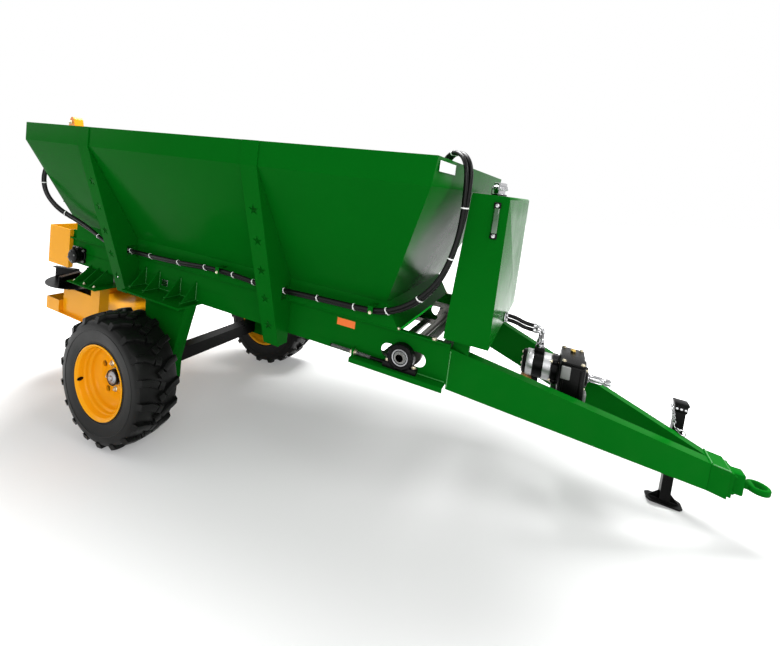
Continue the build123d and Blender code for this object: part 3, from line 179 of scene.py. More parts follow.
plainLook = {
    "peelScale": 380.0, "peelDepth": 0.0004, "dust": 0.01, "dustReach": 1.3, "dustColour": (0.23, 0.21, 0.18),
    "chips": 0.0, "chipColour": (0.1, 0.035, 0.012), "metallic": 0.0, "gloss": 0.5, "coat": 0.0,
    "coatRoughness": 0.08, "smear": (0.3, 0.7),
}
looks = {
    "greenPaint": {
        "colour": (0.0012, 0.11, 0.006), "tone": 0.22, "peelScale": 240.0, "peel": 0.08,
        "dust": 0.012, "chips": 0.2, "roughness": (0.16, 0.26), "gloss": 0.008,
    },
    "yellowPaint": {
        "colour": (0.9, 0.385, 0.006), "tone": 0.14, "peelScale": 240.0, "peel": 0.08,
        "dust": 0.02, "chips": 0.3, "roughness": (0.18, 0.28), "gloss": 0.1,
    },
    "orangePaint": {
        "colour": (0.84, 0.24, 0.008), "tone": 0.12, "peelScale": 240.0, "peel": 0.1,
        "dust": 0.02, "chips": 0.2, "roughness": (0.18, 0.28), "gloss": 0.12,
    },
    "blackPaint": {
        "colour": (0.0016, 0.0016, 0.0018), "tone": 0.3, "peelScale": 260.0, "peel": 0.1,
        "chips": 0.1, "roughness": (0.24, 0.36), "gloss": 0.08,
    },
    "castBlack": {
        "colour": (0.0018, 0.0018, 0.002), "tone": 0.5, "peelScale": 420.0, "peel": 0.4,
        "roughness": (0.26, 0.4), "gloss": 0.1, "peelDepth": 0.001,
    },
    "castGrey": {
        "colour": (0.2, 0.205, 0.2), "tone": 0.3, "peelScale": 420.0, "peel": 0.3,
        "dust": 0.05, "roughness": (0.35, 0.5), "metallic": 0.2, "peelDepth": 0.0008,
    },
    "tyreRubber": {
        "colour": (0.0042, 0.0045, 0.0042), "tone": 0.4, "peelScale": 520.0, "peel": 0.25, "dust": 0.06,
        "dustReach": 0.9, "dustColour": (0.05, 0.048, 0.044), "roughness": (0.32, 0.46), "gloss": 0.14,
        "peelDepth": 0.0006,
    },
    "hoseRubber": {
        "colour": (0.003, 0.003, 0.003), "tone": 0.3, "peelScale": 700.0, "peel": 0.3,
        "roughness": (0.26, 0.38), "gloss": 0.15,
    },
    "bareSteel": {
        "colour": (0.3, 0.3, 0.31), "tone": 0.4, "peelScale": 300.0, "peel": 0.2,
        "dust": 0.06, "roughness": (0.25, 0.45), "metallic": 0.9,
    },
    "wornSteel": {
        "colour": (0.2, 0.19, 0.18), "tone": 0.6, "peelScale": 300.0, "peel": 0.3,
        "dust": 0.06, "chips": 0.8, "roughness": (0.3, 0.5), "metallic": 0.8,
    },
    "zincPlate": {
        "colour": (0.66, 0.6, 0.46), "tone": 0.4, "peel": 0.1, "dust": 0.03,
        "roughness": (0.25, 0.4), "metallic": 0.9,
    },
    "aluminiumBody": {
        "colour": (0.52, 0.52, 0.53), "tone": 0.2, "peel": 0.2, "dust": 0.02,
        "roughness": (0.28, 0.42), "metallic": 0.75,
    },
    "brightPlate": {
        "colour": (0.4, 0.4, 0.41), "tone": 0.1, "peel": 0.05, "roughness": (0.1, 0.22), "metallic": 1.0,
    },
    "brassPlug": {
        "colour": (0.72, 0.5, 0.14), "tone": 0.2, "peel": 0.1, "roughness": (0.25, 0.4), "metallic": 0.9,
    },
    "brownFitting": {
        "colour": (0.36, 0.17, 0.05), "tone": 0.3, "peel": 0.1, "dust": 0.02,
        "roughness": (0.3, 0.45), "metallic": 0.3,
    },
    "whitePlastic": {"colour": (0.84, 0.85, 0.84), "tone": 0.06, "peel": 0.05, "roughness": (0.35, 0.45)},
    # the sight glass: its dark green is a painted reflection of the green tank round it
    "gaugeGlassPaintedReflection": {
        "colour": (0.006, 0.06, 0.01), "tone": 0.1, "peel": 0.02, "roughness": (0.08, 0.15),
        "coat": 1.0, "coatRoughness": 0.03,
    },
    "orangeLabel": {
        "colour": (0.86, 0.17, 0.02), "tone": 0.05, "peel": 0.03, "roughness": (0.35, 0.45), "gloss": 0.3,
    },
    # weld beads: a lighter copy of the frame green, a painted highlight along the seams
    "weldBead": {
        "colour": (0.012, 0.2, 0.022), "tone": 0.3, "peelScale": 160.0, "peel": 0.6,
        "dust": 0.02, "roughness": (0.18, 0.3), "gloss": 0.6, "peelDepth": 0.0015,
    },
}


def finishMaterial(name, own):
    # One finish: a sprayed or cast surface with its relief, a little dust and rust.
    look = {**plainLook, **own}
    material, tree, shader = emptyMaterial(name)
    film = groupNode(tree, sprayGroup, Tone=look["tone"], Peel_Scale=look["peelScale"])
    dust = groupNode(tree, dustGroup, Amount=look["dust"], Reach=look["dustReach"])["Mask"]
    chips = groupNode(tree, chipGroup, Amount=look["chips"])["Mask"]
    toned = addNode(tree, "VectorMath", {"operation": "SCALE"}, Scale=film["Tone Shift"])
    toned.inputs[0].default_value = look["colour"]
    dusted = mixColour(tree, dust, toned.outputs["Vector"], look["dustColour"])
    (smearLow, smearHigh), (smooth, dull) = look["smear"], look["roughness"]
    rough = addNode(
        tree, "MapRange", Value=film["Smear"], From_Min=smearLow, From_Max=smearHigh, To_Min=smooth, To_Max=dull,
    )
    relief = addNode(tree, "Bump", Strength=look["peel"], Distance=look["peelDepth"], Height=film["Peel"])
    feed(tree, shader, {
        "Base Color": mixColour(tree, chips, dusted, look["chipColour"]),
        "Roughness": mathNode(tree, "ADD", rough.outputs["Result"], dust),
        "Normal": relief.outputs["Normal"],
        "Metallic": look["metallic"], "Specular IOR Level": look["gloss"],
        "Coat Weight": look["coat"], "Coat Roughness": look["coatRoughness"],
    })
    material.diffuse_color = (*look["colour"], 1)
    return material


paints = {name: finishMaterial(name, look) for name, look in looks.items()}
print("stage: finishes made:", len(paints))

finishNodes = {
    "tyreRubber": ["tyre_right", "tyre_left"],
    "yellowPaint": ["rim_right", "rim_left", "rear_hood", "spinner_frame"],
    "orangePaint": ["cylinder_brackets"],
    "castBlack": [
        "hub_right", "hub_left", "take_up_bearings", "drive_motor", "drive_bearing", "spinner_motors", "gearbox",
    ],
    "wornSteel": ["conveyor", "front_shaft", "rear_shaft"],
    "brightPlate": ["gate_rods", "filler_cap", "pump_fittings"],
    "blackPaint": ["gate_cylinders", "spinner_right", "spinner_left", "axle_beam", "jack_sleeve", "jack_leg"],
    "gaugeGlassPaintedReflection": ["level_gauge"],
    "bareSteel": ["pto_shaft"],
    "aluminiumBody": ["hydraulic_pump"],
    "hoseRubber": ["side_hoses", "pump_hoses"],
}
nodeFinish = {node: finish for finish, nodes in finishNodes.items() for node in nodes}
finishSlot = {
    "greenPaint": "green_paint", "yellowPaint": "yellow_paint", "blackPaint": "black_paint",
    "castBlack": "cast_black", "castGrey": "steel", "bareSteel": "steel", "zincPlate": "steel",
    "tyreRubber": "tyre_rubber",
}
for name, node in frame["nodes"].items():
    finish = paints[nodeFinish.get(name, "greenPaint")]
    if not node.material_slots:
        node.data.materials.append(finish)
    for slot in node.material_slots:
        slot.material = finish
print("stage: finishes put on the frame's nodes")


upward, forward, backward, rightward = (0, 0, 1), (1, 0, 0), (-1, 0, 0), (0, -1, 0)


def placed(at, along=upward, twist=0.0):
    turn = Vector(along).to_track_quat("Z", "Y").to_matrix().to_4x4()
    return Matrix.Translation(at) @ turn @ spun(twist)


def joined(pairs):
    # One shape from pairs of a shape and its place.
    whole = bmesh.new()
    for shape, place in pairs:
        scratch = bpy.data.meshes.new("scratch")
        shape.to_mesh(scratch)
        scratch.transform(place)
        whole.from_mesh(scratch)
        bpy.data.meshes.remove(scratch)
    return whole


def ringed(shape, at, count, reach, height=0.0, start=0.0):
    # Pairs that put a shape at even turns round a place's own z.
    return [(shape, at @ spun(360 * number / count + start) @ moved(reach, 0, height)) for number in range(count)]


def addPiece(name, finish, pairs, body="chassis", slot=None, keeps=35.0, replaces=None):
    # Joins, merges and orients a piece, leans it with the machine and puts it on its body.
    slot = slot or finishSlot.get(finish)
    bm = joined(pairs)
    bmesh.ops.remove_doubles(bm, verts=bm.verts, dist=0.00002)
    bmesh.ops.recalc_face_normals(bm, faces=bm.faces)
    bmesh.ops.transform(bm, matrix=parked, verts=bm.verts)
    mesh = bpy.data.meshes.new(name)
    bm.to_mesh(mesh)
    bm.free()
    mesh.materials.append(paints[finish])
    mesh.shade_smooth()
    mesh.set_sharp_from_angle(angle=math.radians(keeps))
    piece = addObject(name, mesh)
    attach(piece, body)
    if replaces:
        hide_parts(replaces)
    return piece


def outward(shape):
    bmesh.ops.recalc_face_normals(shape, faces=shape.faces)
    return shape


def softened(shape, width, segments=2, keepAngle=30.0):
    # Bevels the shape's sharp edges.
    sharp = [edge for edge in shape.edges if edge.calc_face_angle(0.0) > math.radians(keepAngle)]
    if width > 0:
        bmesh.ops.bevel(
            shape, geom=sharp, offset=width, offset_type="OFFSET", segments=segments,
            profile=0.5, affect="EDGES", material=-1,
        )
    return shape


def block(size, edge=0.0, segments=2):
    shape = bmesh.new()
    bmesh.ops.create_cube(shape, size=1.0)
    bmesh.ops.scale(shape, vec=size, verts=shape.verts)
    return softened(shape, edge, segments)


def cornersOf(parts):
    return [part for part in parts if isinstance(part, bmesh.types.BMVert)]


def bar(radius, length, sides=32, edge=0.0):
    # A bar from the origin up its own z: round, or six-sided for a nut.
    shape = bmesh.new()
    bmesh.ops.create_cone(shape, cap_ends=True, segments=sides, radius1=radius, radius2=radius, depth=length)
    bmesh.ops.translate(shape, vec=(0, 0, length / 2), verts=shape.verts)
    return softened(shape, edge, 2, 50.0)


def lathe(profile, steps=48):
    # Spins (radius, height) corners round z.
    shape = bmesh.new()
    corners = [shape.verts.new((radius, 0, height)) for radius, height in profile]
    lines = [shape.edges.new(pair) for pair in zip(corners, corners[1:])]
    bmesh.ops.spin(
        shape, geom=corners + lines, axis=(0, 0, 1), cent=(0, 0, 0), angle=2 * math.pi,
        steps=steps, use_merge=True,
    )
    bmesh.ops.remove_doubles(shape, verts=shape.verts, dist=0.00001)
    return outward(shape)


def plate(outline, thickness, edge=0.0):
    # A flat plate from its outline, standing up its own z.
    shape = bmesh.new()
    face = shape.faces.new([shape.verts.new((*corner, 0)) for corner in outline])
    raised = bmesh.ops.extrude_face_region(shape, geom=[face])["geom"]
    bmesh.ops.translate(shape, vec=(0, 0, thickness), verts=cornersOf(raised))
    return softened(outward(shape), edge)


def boltShape(size):
    # A hexagon head on its washer.
    washer, hexagon = bar(size * 1.15, size * 0.16, 20, size * 0.05), bar(size * 0.92, size * 0.7, 6, size * 0.1)
    return joined([(washer, Matrix()), (hexagon, moved(0, 0, size * 0.16))])


def nutShape(size):
    # A nut on its washer, with the screw's end showing.
    return joined([(boltShape(size), Matrix()), (bar(size * 0.5, size * 1.35, 16, size * 0.08), Matrix())])


wheels = {
    "halfTrack": 0.713, "axis": 0.378, "lugs": 18,
    "treadTop": 0.378, "crownDrop": 0.014, "crownHalf": 0.132, "treadBase": 0.347,
    "shoulderStart": 0.1, "shoulderFall": 0.42, "draft": 0.4,
    "barBevel": 0.0034, "flatHeight": 0.03, "keeps": 30.0,
    "carcass": [
        (0.2, 0.1), (0.2, 0.113), (0.206, 0.117), (0.214, 0.1185), (0.221, 0.1215), (0.2225, 0.1245),
        (0.226, 0.125), (0.229, 0.1235), (0.25, 0.127), (0.272, 0.1293), (0.292, 0.13), (0.2935, 0.1318),
        (0.298, 0.1318), (0.2995, 0.13), (0.318, 0.1285), (0.336, 0.124), (0.346, 0.116), (0.351, 0.102),
        (0.354, 0.07), (0.355, 0.035), (0.3555, 0.0),
    ],
    "bars": [
        {"path": [(0.129, -0.004), (0.105, 0.0), (0.07, 0.008), (0.045, 0.024), (0.024, 0.04)],
         "half": 0.018, "cells": 12},
        {"path": [(0.017, 0.043), (0.002, 0.05), (-0.013, 0.057)], "half": 0.021, "cells": 5},
    ],
}


def alongPath(path, share):
    # The place and heading at a share of a bent line's way.
    spot = min(int(share * (len(path) - 1)), len(path) - 2)
    rest = share * (len(path) - 1) - spot
    start, end = Vector(path[spot]), Vector(path[spot + 1])
    before = Vector(path[max(spot - 1, 0)])
    after = Vector(path[min(spot + 2, len(path) - 1)])
    heading = (end - before).lerp(after - start, rest).normalized()
    return start.lerp(end, rest), heading


def treadBar(row):
    # A rubber bar: a flat strip bent along its path, raised, bevelled, then wrapped on the tread.
    shape = bmesh.new()
    bmesh.ops.create_grid(shape, x_segments=row["cells"], y_segments=2, size=0.5)
    for corner in shape.verts:
        place, heading = alongPath(row["path"], corner.co.x + 0.5)
        across = Vector((-heading.y, heading.x)) * corner.co.y * 2 * row["half"]
        corner.co = Vector((place.x + across.x, place.y + across.y, 0))
    raised = bmesh.ops.extrude_face_region(shape, geom=shape.faces[:])["geom"]
    bmesh.ops.translate(shape, vec=(0, 0, 1), verts=cornersOf(raised))
    rim = [
        edge for edge in shape.edges
        if edge.calc_face_angle(0.0) > 0.6 and all(corner.co.z > 0.5 for corner in edge.verts)
    ]
    flat = wheels["flatHeight"]
    bmesh.ops.scale(shape, vec=(1, 1, flat), verts=shape.verts)
    bmesh.ops.bevel(
        shape, geom=rim, offset=wheels["barBevel"], offset_type="OFFSET", segments=2, profile=0.5,
        affect="EDGES", material=-1,
    )
    bmesh.ops.scale(shape, vec=(1, 1, 1 / flat), verts=shape.verts)
    start = wheels["shoulderStart"]
    for corner in shape.verts:
        across, forward, height = corner.co
        outer = max(across - start, 0)
        across -= outer * wheels["draft"] * height
        low = wheels["treadBase"] - outer * wheels["shoulderFall"]
        high = wheels["treadTop"] - wheels["crownDrop"] * (abs(across) / wheels["crownHalf"]) ** 3
        radius = low + (high - low) * height
        turn = forward / wheels["treadTop"]
        corner.co = Vector((radius * math.sin(turn), radius * math.cos(turn), across))
    return outward(shape)


def wheelPlace(side, turn=0.0):
    # The wheel's own frame: z outward, y up.
    centre = moved(0, side * wheels["halfTrack"], wheels["axis"])
    stand = Matrix(((-side, 0, 0, 0), (0, 0, side, 0), (0, 1, 0, 0), (0, 0, 0, 1)))
    return centre @ stand @ spun(turn)


def makeTyre(side):
    name = "right" if side < 0 else "left"
    half = wheels["carcass"]
    profile = half + [(radius, -across) for radius, across in reversed(half[:-1])] + half[:1]
    stand = wheelPlace(side) @ Matrix.Scale(-side, 4, (1, 0, 0))
    mirror = Matrix.Scale(-1, 4, (0, 0, 1))
    lean, pitch = math.degrees(noseDown), 360 / wheels["lugs"]
    bars = [treadBar(row) for row in wheels["bars"]]
    pairs = [(lathe(profile, 96), stand)]
    for number in range(wheels["lugs"]):
        for single in bars:
            pairs.append((single, stand @ spun(lean - pitch * number)))
            pairs.append((single, stand @ spun(lean - pitch * (number + 0.5)) @ mirror))
    addPiece("tyre" + name.title(), "tyreRubber", pairs, "wheel_" + name, keeps=wheels["keeps"],
             replaces="tyre_" + name)


rims = {
    "section": [
        (0.203, 0.1195), (0.211, 0.12), (0.214, 0.1225), (0.214, 0.1255), (0.2115, 0.1275), (0.2085, 0.1275),
        (0.2055, 0.125), (0.201, 0.1185), (0.197, 0.116), (0.1952, 0.111), (0.1945, 0.088), (0.193, 0.083),
        (0.1895, 0.08), (0.1872, 0.074), (0.1868, 0.064), (0.185, 0.059), (0.177, 0.0555), (0.1742, 0.0505),
        (0.1738, 0.04), (0.1715, 0.033), (0.164, 0.024), (0.154, 0.015), (0.143, 0.0095), (0.13, 0.0075),
        (0.102, 0.0065), (0.096, 0.0085), (0.086, 0.0135), (0.06, 0.012), (0.048, 0.0065), (0.048, -0.004),
        (0.148, -0.004), (0.16, 0.005), (0.166, 0.014), (0.168, 0.01), (0.168, -0.05), (0.19, -0.08),
        (0.196, -0.112), (0.2, -0.125), (0.2085, -0.1275), (0.214, -0.1255), (0.214, -0.1225),
        (0.211, -0.12), (0.204, -0.1195), (0.201, -0.085), (0.174, -0.048), (0.174, 0.03),
        (0.18, 0.052), (0.191, 0.062), (0.192, 0.074), (0.1985, 0.086), (0.199, 0.114), (0.203, 0.1195),
    ],
    "handHoles": 5, "handHoleCircle": 0.124, "handHoleRadius": 0.019, "handHoleDepth": 0.04, "keeps": 50.0,
    "cap": [
        (0.0, 0.056), (0.012, 0.0555), (0.015, 0.053), (0.0165, 0.048), (0.03, 0.0465), (0.037, 0.0425),
        (0.0405, 0.037), (0.042, 0.03), (0.0425, 0.021), (0.048, 0.0195), (0.0485, 0.012), (0.047, 0.006),
    ],
    "studs": 5, "studCircle": 0.078, "valveTurn": 193.0, "valveOut": 0.104, "valveRadius": 0.193,
}


def cutAway(piece, cutter, keeps):
    # Cuts a shape out of a piece for good.
    mesh = bpy.data.meshes.new("cutter")
    cutter.to_mesh(mesh)
    cutter.free()
    tool = addObject("cutter", mesh)
    cut = piece.modifiers.new("cut", "BOOLEAN")
    cut.operation = "DIFFERENCE"
    cut.solver = "EXACT"
    cut.object = tool
    bpy.context.view_layer.update()
    solid = piece.evaluated_get(bpy.context.evaluated_depsgraph_get())
    left = bpy.data.meshes.new_from_object(solid)
    piece.modifiers.clear()
    old = piece.data
    piece.data = left
    left.shade_smooth()
    left.set_sharp_from_angle(angle=math.radians(keeps))
    bpy.data.objects.remove(tool)
    for unused in (mesh, old):
        bpy.data.meshes.remove(unused)


def makeRimDetail(side):
    name = "right" if side < 0 else "left"
    label, body, at = name.title(), "wheel_" + name, wheelPlace(side)
    rim = addPiece("rimPress" + label, "yellowPaint", [(lathe(rims["section"], 96), at)], body,
                   keeps=rims["keeps"], replaces="rim_" + name)
    depth = rims["handHoleDepth"]
    hole = bar(rims["handHoleRadius"], depth)
    holes = ringed(hole, parked @ at, rims["handHoles"], rims["handHoleCircle"], -depth / 2, 90)
    cutAway(rim, joined(holes), rims["keeps"])
    addPiece("hubCap" + label, "bareSteel", [(lathe(rims["cap"], 40), at)], body)
    seat = lathe([(0.012, 0), (0.017, 0), (0.017, 0.002), (0.013, 0.006), (0.012, 0)], 20)
    addPiece("wheelNuts" + label, "zincPlate", [
        pair for shape in (nutShape(0.011), seat)
        for pair in ringed(shape, at, rims["studs"], rims["studCircle"], 0.0125, 54)
    ], body)
    valve = wheelPlace(side, rims["valveTurn"]) @ moved(rims["valveRadius"], 0, rims["valveOut"])
    oval = valve @ Matrix.Rotation(math.radians(-90), 4, "Y") @ Matrix.Diagonal((1.5, 0.9, 1, 1))
    collar = lathe([(0, 0.0012), (0.009, 0.0014), (0.0105, 0.002), (0.0115, 0.0005), (0.0115, -0.004)], 24)
    stem = bar(0.0035, 0.016, 12, 0.0008)
    addPiece("tyreValve" + label, "castBlack", [
        (collar, oval), (stem, valve @ placed((0, 0, 0), (-0.8, 0.3, 0.6))),
    ], body)


for wheelSide in (-1, 1):
    makeTyre(wheelSide)
    makeRimDetail(wheelSide)
print("stage: tyres and rims")


hoseStretches = [
    # the way from the pair's middle to the first hose, then the middle's points along the stretch
    ((1, 0, 0), [
        (-0.993, -0.52, 1.575), (-0.993, -0.563, 1.575), (-0.993, -0.605, 1.557), (-0.994, -0.638, 1.525),
        (-0.997, -0.655, 1.483), (-1.0, -0.66, 1.428), (-0.999, -0.654, 1.37),
    ]),
    ((1, 0, 0.1), [(-0.993, -0.636, 1.313)]),
    ((1, 0, 0.3), [(-0.974, -0.607, 1.26)]),
    ((1, 0, 0.6), [(-0.935, -0.578, 1.215)]),
    ((1, -0.3, 1), [(-0.87, -0.55, 1.182)]),
    ((0.6, -0.5, 1), [(-0.78, -0.524, 1.146)]),
    ((0.3, -0.7, 1), [(-0.676, -0.502, 1.104)]),
    ((0, -1, 1), [
        (-0.581, -0.492, 1.059), (-0.49, -0.49, 1.038), (-0.363, -0.49, 1.037), (-0.164, -0.49, 1.038),
        (0.014, -0.49, 1.041), (0.204, -0.49, 1.049), (0.402, -0.49, 1.065), (0.593, -0.49, 1.064),
        (0.789, -0.49, 1.049), (1.008, -0.49, 1.056), (1.206, -0.49, 1.064), (1.346, -0.49, 1.067),
        (1.434, -0.492, 1.073),
    ]),
    ((-0.2, -1, 1), [(1.512, -0.497, 1.089)]),
    ((-0.4, -1, 0.8), [(1.593, -0.507, 1.131)]),
    ((-0.4, -1, 0.5), [(1.662, -0.515, 1.188)]),
    ((-0.3, -1, 0.2), [(1.714, -0.521, 1.254)]),
    ((-0.2, -1, 0), [(1.749, -0.521, 1.326)]),
    ((-0.1, -1, 0), [(1.772, -0.521, 1.407)]),
    ((0, -1, 0), [(1.786, -0.521, 1.489)]),
    ((-0.3, -1, 0), [(1.794, -0.521, 1.573)]),
    ((-0.6, -1, 0), [(1.795, -0.521, 1.66)]),
    ((-1, -1, 0), [
        (1.791, -0.517, 1.741), (1.779, -0.505, 1.781), (1.758, -0.484, 1.811), (1.73, -0.456, 1.828),
        (1.699, -0.425, 1.828), (1.671, -0.397, 1.811), (1.65, -0.376, 1.781), (1.638, -0.364, 1.741),
        (1.638, -0.364, 1.698),
    ]),
]
sideHoseRoute = [(*point, way) for way, points in hoseStretches for point in points]
sideHoses = {"radius": 0.0095, "spacing": 0.011}
pumpHoses = {
    "radius": 0.01, "spacing": 0.0115,
    "route": [(2.104, 0, 1.04), (2.06, 0, 1.04), (2.01, 0, 1.06), (1.966, 0, 1.06)],
}


def hoseCurve(name, points, radius):
    # A hose on one smooth spline through its route.
    data = bpy.data.curves.new(name, "CURVE")
    data.dimensions = "3D"
    data.resolution_u = 8
    data.bevel_depth = radius
    data.bevel_resolution = 5
    data.use_fill_caps = radius > 0
    spline = data.splines.new("NURBS")
    spline.points.add(len(points) - 1)
    for spot, point in zip(spline.points, points):
        spot.co = (*(parked @ Vector(point)), 1)
    spline.order_u = 3
    spline.use_endpoint_u = True
    hose = addObject(name, data)
    return hose


def layHose(name, points, radius, node):
    hose = hoseCurve(name, points, radius)
    hose.data.materials.append(paints["hoseRubber"])
    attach(hose, "chassis")
    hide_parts(node)


def beside(row, distance):
    return Vector(row[:3]) + Vector(row[3]).normalized() * distance


for label, way in (("Upper", 1), ("Lower", -1)):
    layHose(
        "sideHose" + label, [beside(row, way * sideHoses["spacing"]) for row in sideHoseRoute],
        sideHoses["radius"], "side_hoses",
    )
    layHose(
        "pumpHose" + label,
        [Vector(point) + Vector((0, 0, way * pumpHoses["spacing"])) for point in pumpHoses["route"]],
        pumpHoses["radius"], "pump_hoses",
    )


def splinePoints(points):
    # Level-machine points read from the route's own spline.
    curve = hoseCurve("scratchRoute", points, 0.0)
    bpy.context.view_layer.update()
    mesh = bpy.data.meshes.new_from_object(curve)
    level = parked.inverted()
    read = [level @ vertex.co for vertex in mesh.vertices]
    bpy.data.meshes.remove(mesh)
    data = curve.data
    bpy.data.objects.remove(curve)
    bpy.data.curves.remove(data)
    return read


ties = {
    "wall": 0.0014, "width": 0.0055,
    "places": [
        (-0.985, -0.648, 1.5), (-0.997, -0.655, 1.4), (-0.9, -0.56, 1.195), (-0.62, -0.497, 1.08),
        (-0.28, -0.49, 1.037), (-0.08, -0.49, 1.039), (0.168, -0.49, 1.048), (0.38, -0.49, 1.063),
        (0.584, -0.49, 1.064), (0.728, -0.49, 1.054), (0.929, -0.49, 1.052), (1.13, -0.49, 1.061),
        (1.335, -0.49, 1.067), (1.508, -0.497, 1.089), (1.657, -0.514, 1.186), (1.766, -0.521, 1.389),
        (1.793, -0.521, 1.605), (1.7, -0.426, 1.82),
    ],
    "clampPlace": (-0.327, -0.49, 1.037),
}
routeRead = splinePoints([Vector(row[:3]) for row in sideHoseRoute])


def routeFrame(place):
    # A frame on the pair of hoses at the nearest point: x from hose to hose, z along them.
    spot = min(range(1, len(routeRead) - 1), key=lambda number: (routeRead[number] - Vector(place)).length)
    along = (routeRead[spot + 1] - routeRead[spot - 1]).normalized()
    nearest = min(sideHoseRoute, key=lambda row: (Vector(row[:3]) - routeRead[spot]).length)
    across = Vector(nearest[3])
    across = (across - along * across.dot(along)).normalized()
    up = along.cross(across)
    turn = Matrix((across, up, along)).transposed().to_4x4()
    return Matrix.Translation(routeRead[spot]) @ turn


def pairBand(wall, width):
    # A band round both hoses.
    shape = bmesh.new()
    bmesh.ops.create_circle(shape, cap_ends=False, radius=sideHoses["radius"] + 0.0006, segments=24)
    bmesh.ops.rotate(shape, cent=(0, 0, 0), matrix=Matrix.Rotation(math.pi / 24, 3, "Z"), verts=shape.verts)
    for corner in shape.verts:
        corner.co.x += math.copysign(sideHoses["spacing"], corner.co.x)
    raised = bmesh.ops.extrude_edge_only(shape, edges=shape.edges[:])["geom"]
    bmesh.ops.translate(shape, vec=(0, 0, width), verts=cornersOf(raised))
    bmesh.ops.translate(shape, vec=(0, 0, -width / 2), verts=shape.verts)
    bmesh.ops.solidify(outward(shape), geom=shape.faces[:], thickness=-wall)
    return outward(shape)


def makeTies():
    band, head = pairBand(ties["wall"], ties["width"]), block((0.006, 0.005, 0.0065), 0.0008)
    spots = [routeFrame(place) for place in ties["places"]]
    addPiece("hoseTies", "whitePlastic", [
        pair for spot in spots for pair in ((band, spot), (head, spot @ moved(0.004, 0.0125, 0)))
    ])
    ferrule = lathe([
        (0.01, 0), (0.0125, 0), (0.0125, 0.012), (0.0118, 0.014), (0.0125, 0.016), (0.0125, 0.03), (0.011, 0.033),
        (0.01, 0.033), (0.01, 0),
    ], 24)
    starts = [beside(sideHoseRoute[0], way * sideHoses["spacing"]) for way in (1, -1)]
    addPiece("hoseClampAndFerrules", "castBlack", [
        (pairBand(0.003, 0.018), routeFrame(ties["clampPlace"])),
        *[(ferrule, placed(start, rightward)) for start in starts],
    ])


makeTies()
print("stage: hoses and ties")


bearings = {
    "place": (1.585, -0.461, 0.884), "footReach": 0.064, "footTop": 0.8445, "footIn": 0.018,
    "rings": [
        (0.02, 0.0), (0.02, 0.008), (0.0235, 0.009), (0.025, 0.007), (0.0255, 0.002), (0.029, 0.0015),
        (0.029, -0.001),
    ],
    "seal": [
        (0.033, -0.001), (0.033, 0.0035), (0.0345, 0.0045), (0.038, 0.0045), (0.0395, 0.003), (0.0395, -0.001),
    ],
    "shell": [
        (0.0415, -0.001), (0.0425, 0.0055), (0.046, 0.0075), (0.052, 0.0075), (0.056, 0.005), (0.06, 0.0035),
        (0.0625, -0.001),
    ],
    "ribs": 10, "lug": 1.34, "screwHeight": 0.834, "threadEnd": 1.44, "threadPitch": 0.0042, "screwStart": 1.222,
}


def makeBearing(side):
    name = "Right" if side < 0 else "Left"
    x, y, z = bearings["place"]
    out = (0, side, 0)
    face = placed((x, -y * side, z), out)
    footY, footTop = -(y + bearings["footIn"]) * side, bearings["footTop"]
    feet = [x + way * bearings["footReach"] for way in (-1, 1)]
    seat = lathe([(0.006, 0), (0.0165, 0), (0.015, 0.004), (0.006, 0.004), (0.006, 0)], 20)
    addPiece("bearingShell" + name, "castBlack", [
        (lathe(bearings["shell"], 56), face),
        *ringed(block((0.014, 0.006, 0.006), 0.0012), face, bearings["ribs"], 0.053, 0.006),
        *[(seat, placed((foot, footY, footTop))) for foot in feet],
    ])
    addPiece("bearingSeal" + name, "bareSteel", [(lathe(bearings["seal"], 48), face)])
    addPiece("bearingCollar" + name, "castGrey", [
        (lathe(bearings["rings"], 40), face),
        (bar(0.0285, 0.006, 6, 0.0012), face @ spun(12)),
        (bar(0.02, 0.01, 28, 0.0016), face),
        (bar(0.0035, 0.0065, 6, 0.0006), placed((x, (0.006 - y) * side, z + 0.0235), out)),
    ])
    start, pitch, height = bearings["screwStart"], bearings["threadPitch"], bearings["screwHeight"]
    turns = int((bearings["threadEnd"] - start) / pitch)
    profile = [(0.0, 0.0)]
    for number in range(turns):
        profile += [(0.0074, number * pitch), (0.0086, number * pitch + pitch * 0.45)]
    thread = lathe(profile + [(0.0, turns * pitch)], 14)
    addPiece("takeUpThread" + name, "castGrey", [(thread, placed((start, footY, height), forward))])
    lockNut, bolt, footNut = nutShape(0.0135), boltShape(0.0115), nutShape(0.0115)
    addPiece("takeUpBolts" + name, "zincPlate", [
        (lockNut, placed((bearings["lug"] + 0.01, footY, height), forward, 15)),
        (lockNut, placed((bearings["lug"], footY, height), backward, 15)),
        *[(bolt, placed((foot, footY, footTop + 0.004), upward, 20)) for foot in feet],
        *[(footNut, placed((foot, footY, z - 0.07), (0, 0, -1), 5)) for foot in feet],
    ])


for wheelSide in (-1, 1):
    makeBearing(wheelSide)
print("stage: floor bearings")


gearCase = {
    "rear": 2.232, "front": 2.345, "half": 0.122, "low": 0.776, "high": 0.953, "shaft": 0.868,
    "flangeBolts": 4, "flangeCircle": 0.062, "cover": (0.018, 0.095, 0.105),
    "hub": [
        (0.03, -0.004), (0.07, -0.004), (0.072, 0.002), (0.07, 0.006), (0.048, 0.008), (0.045, 0.016),
        (0.04, 0.018), (0.03, 0.018), (0.03, -0.004),
    ],
}


def aroundDrive(x, count, circle, start=45.0):
    # Spots on an upright circle round the drive's line.
    turns = [math.radians(360 / count * number + start) for number in range(count)]
    return [(x, circle * math.cos(turn), gearCase["shaft"] + circle * math.sin(turn)) for turn in turns]


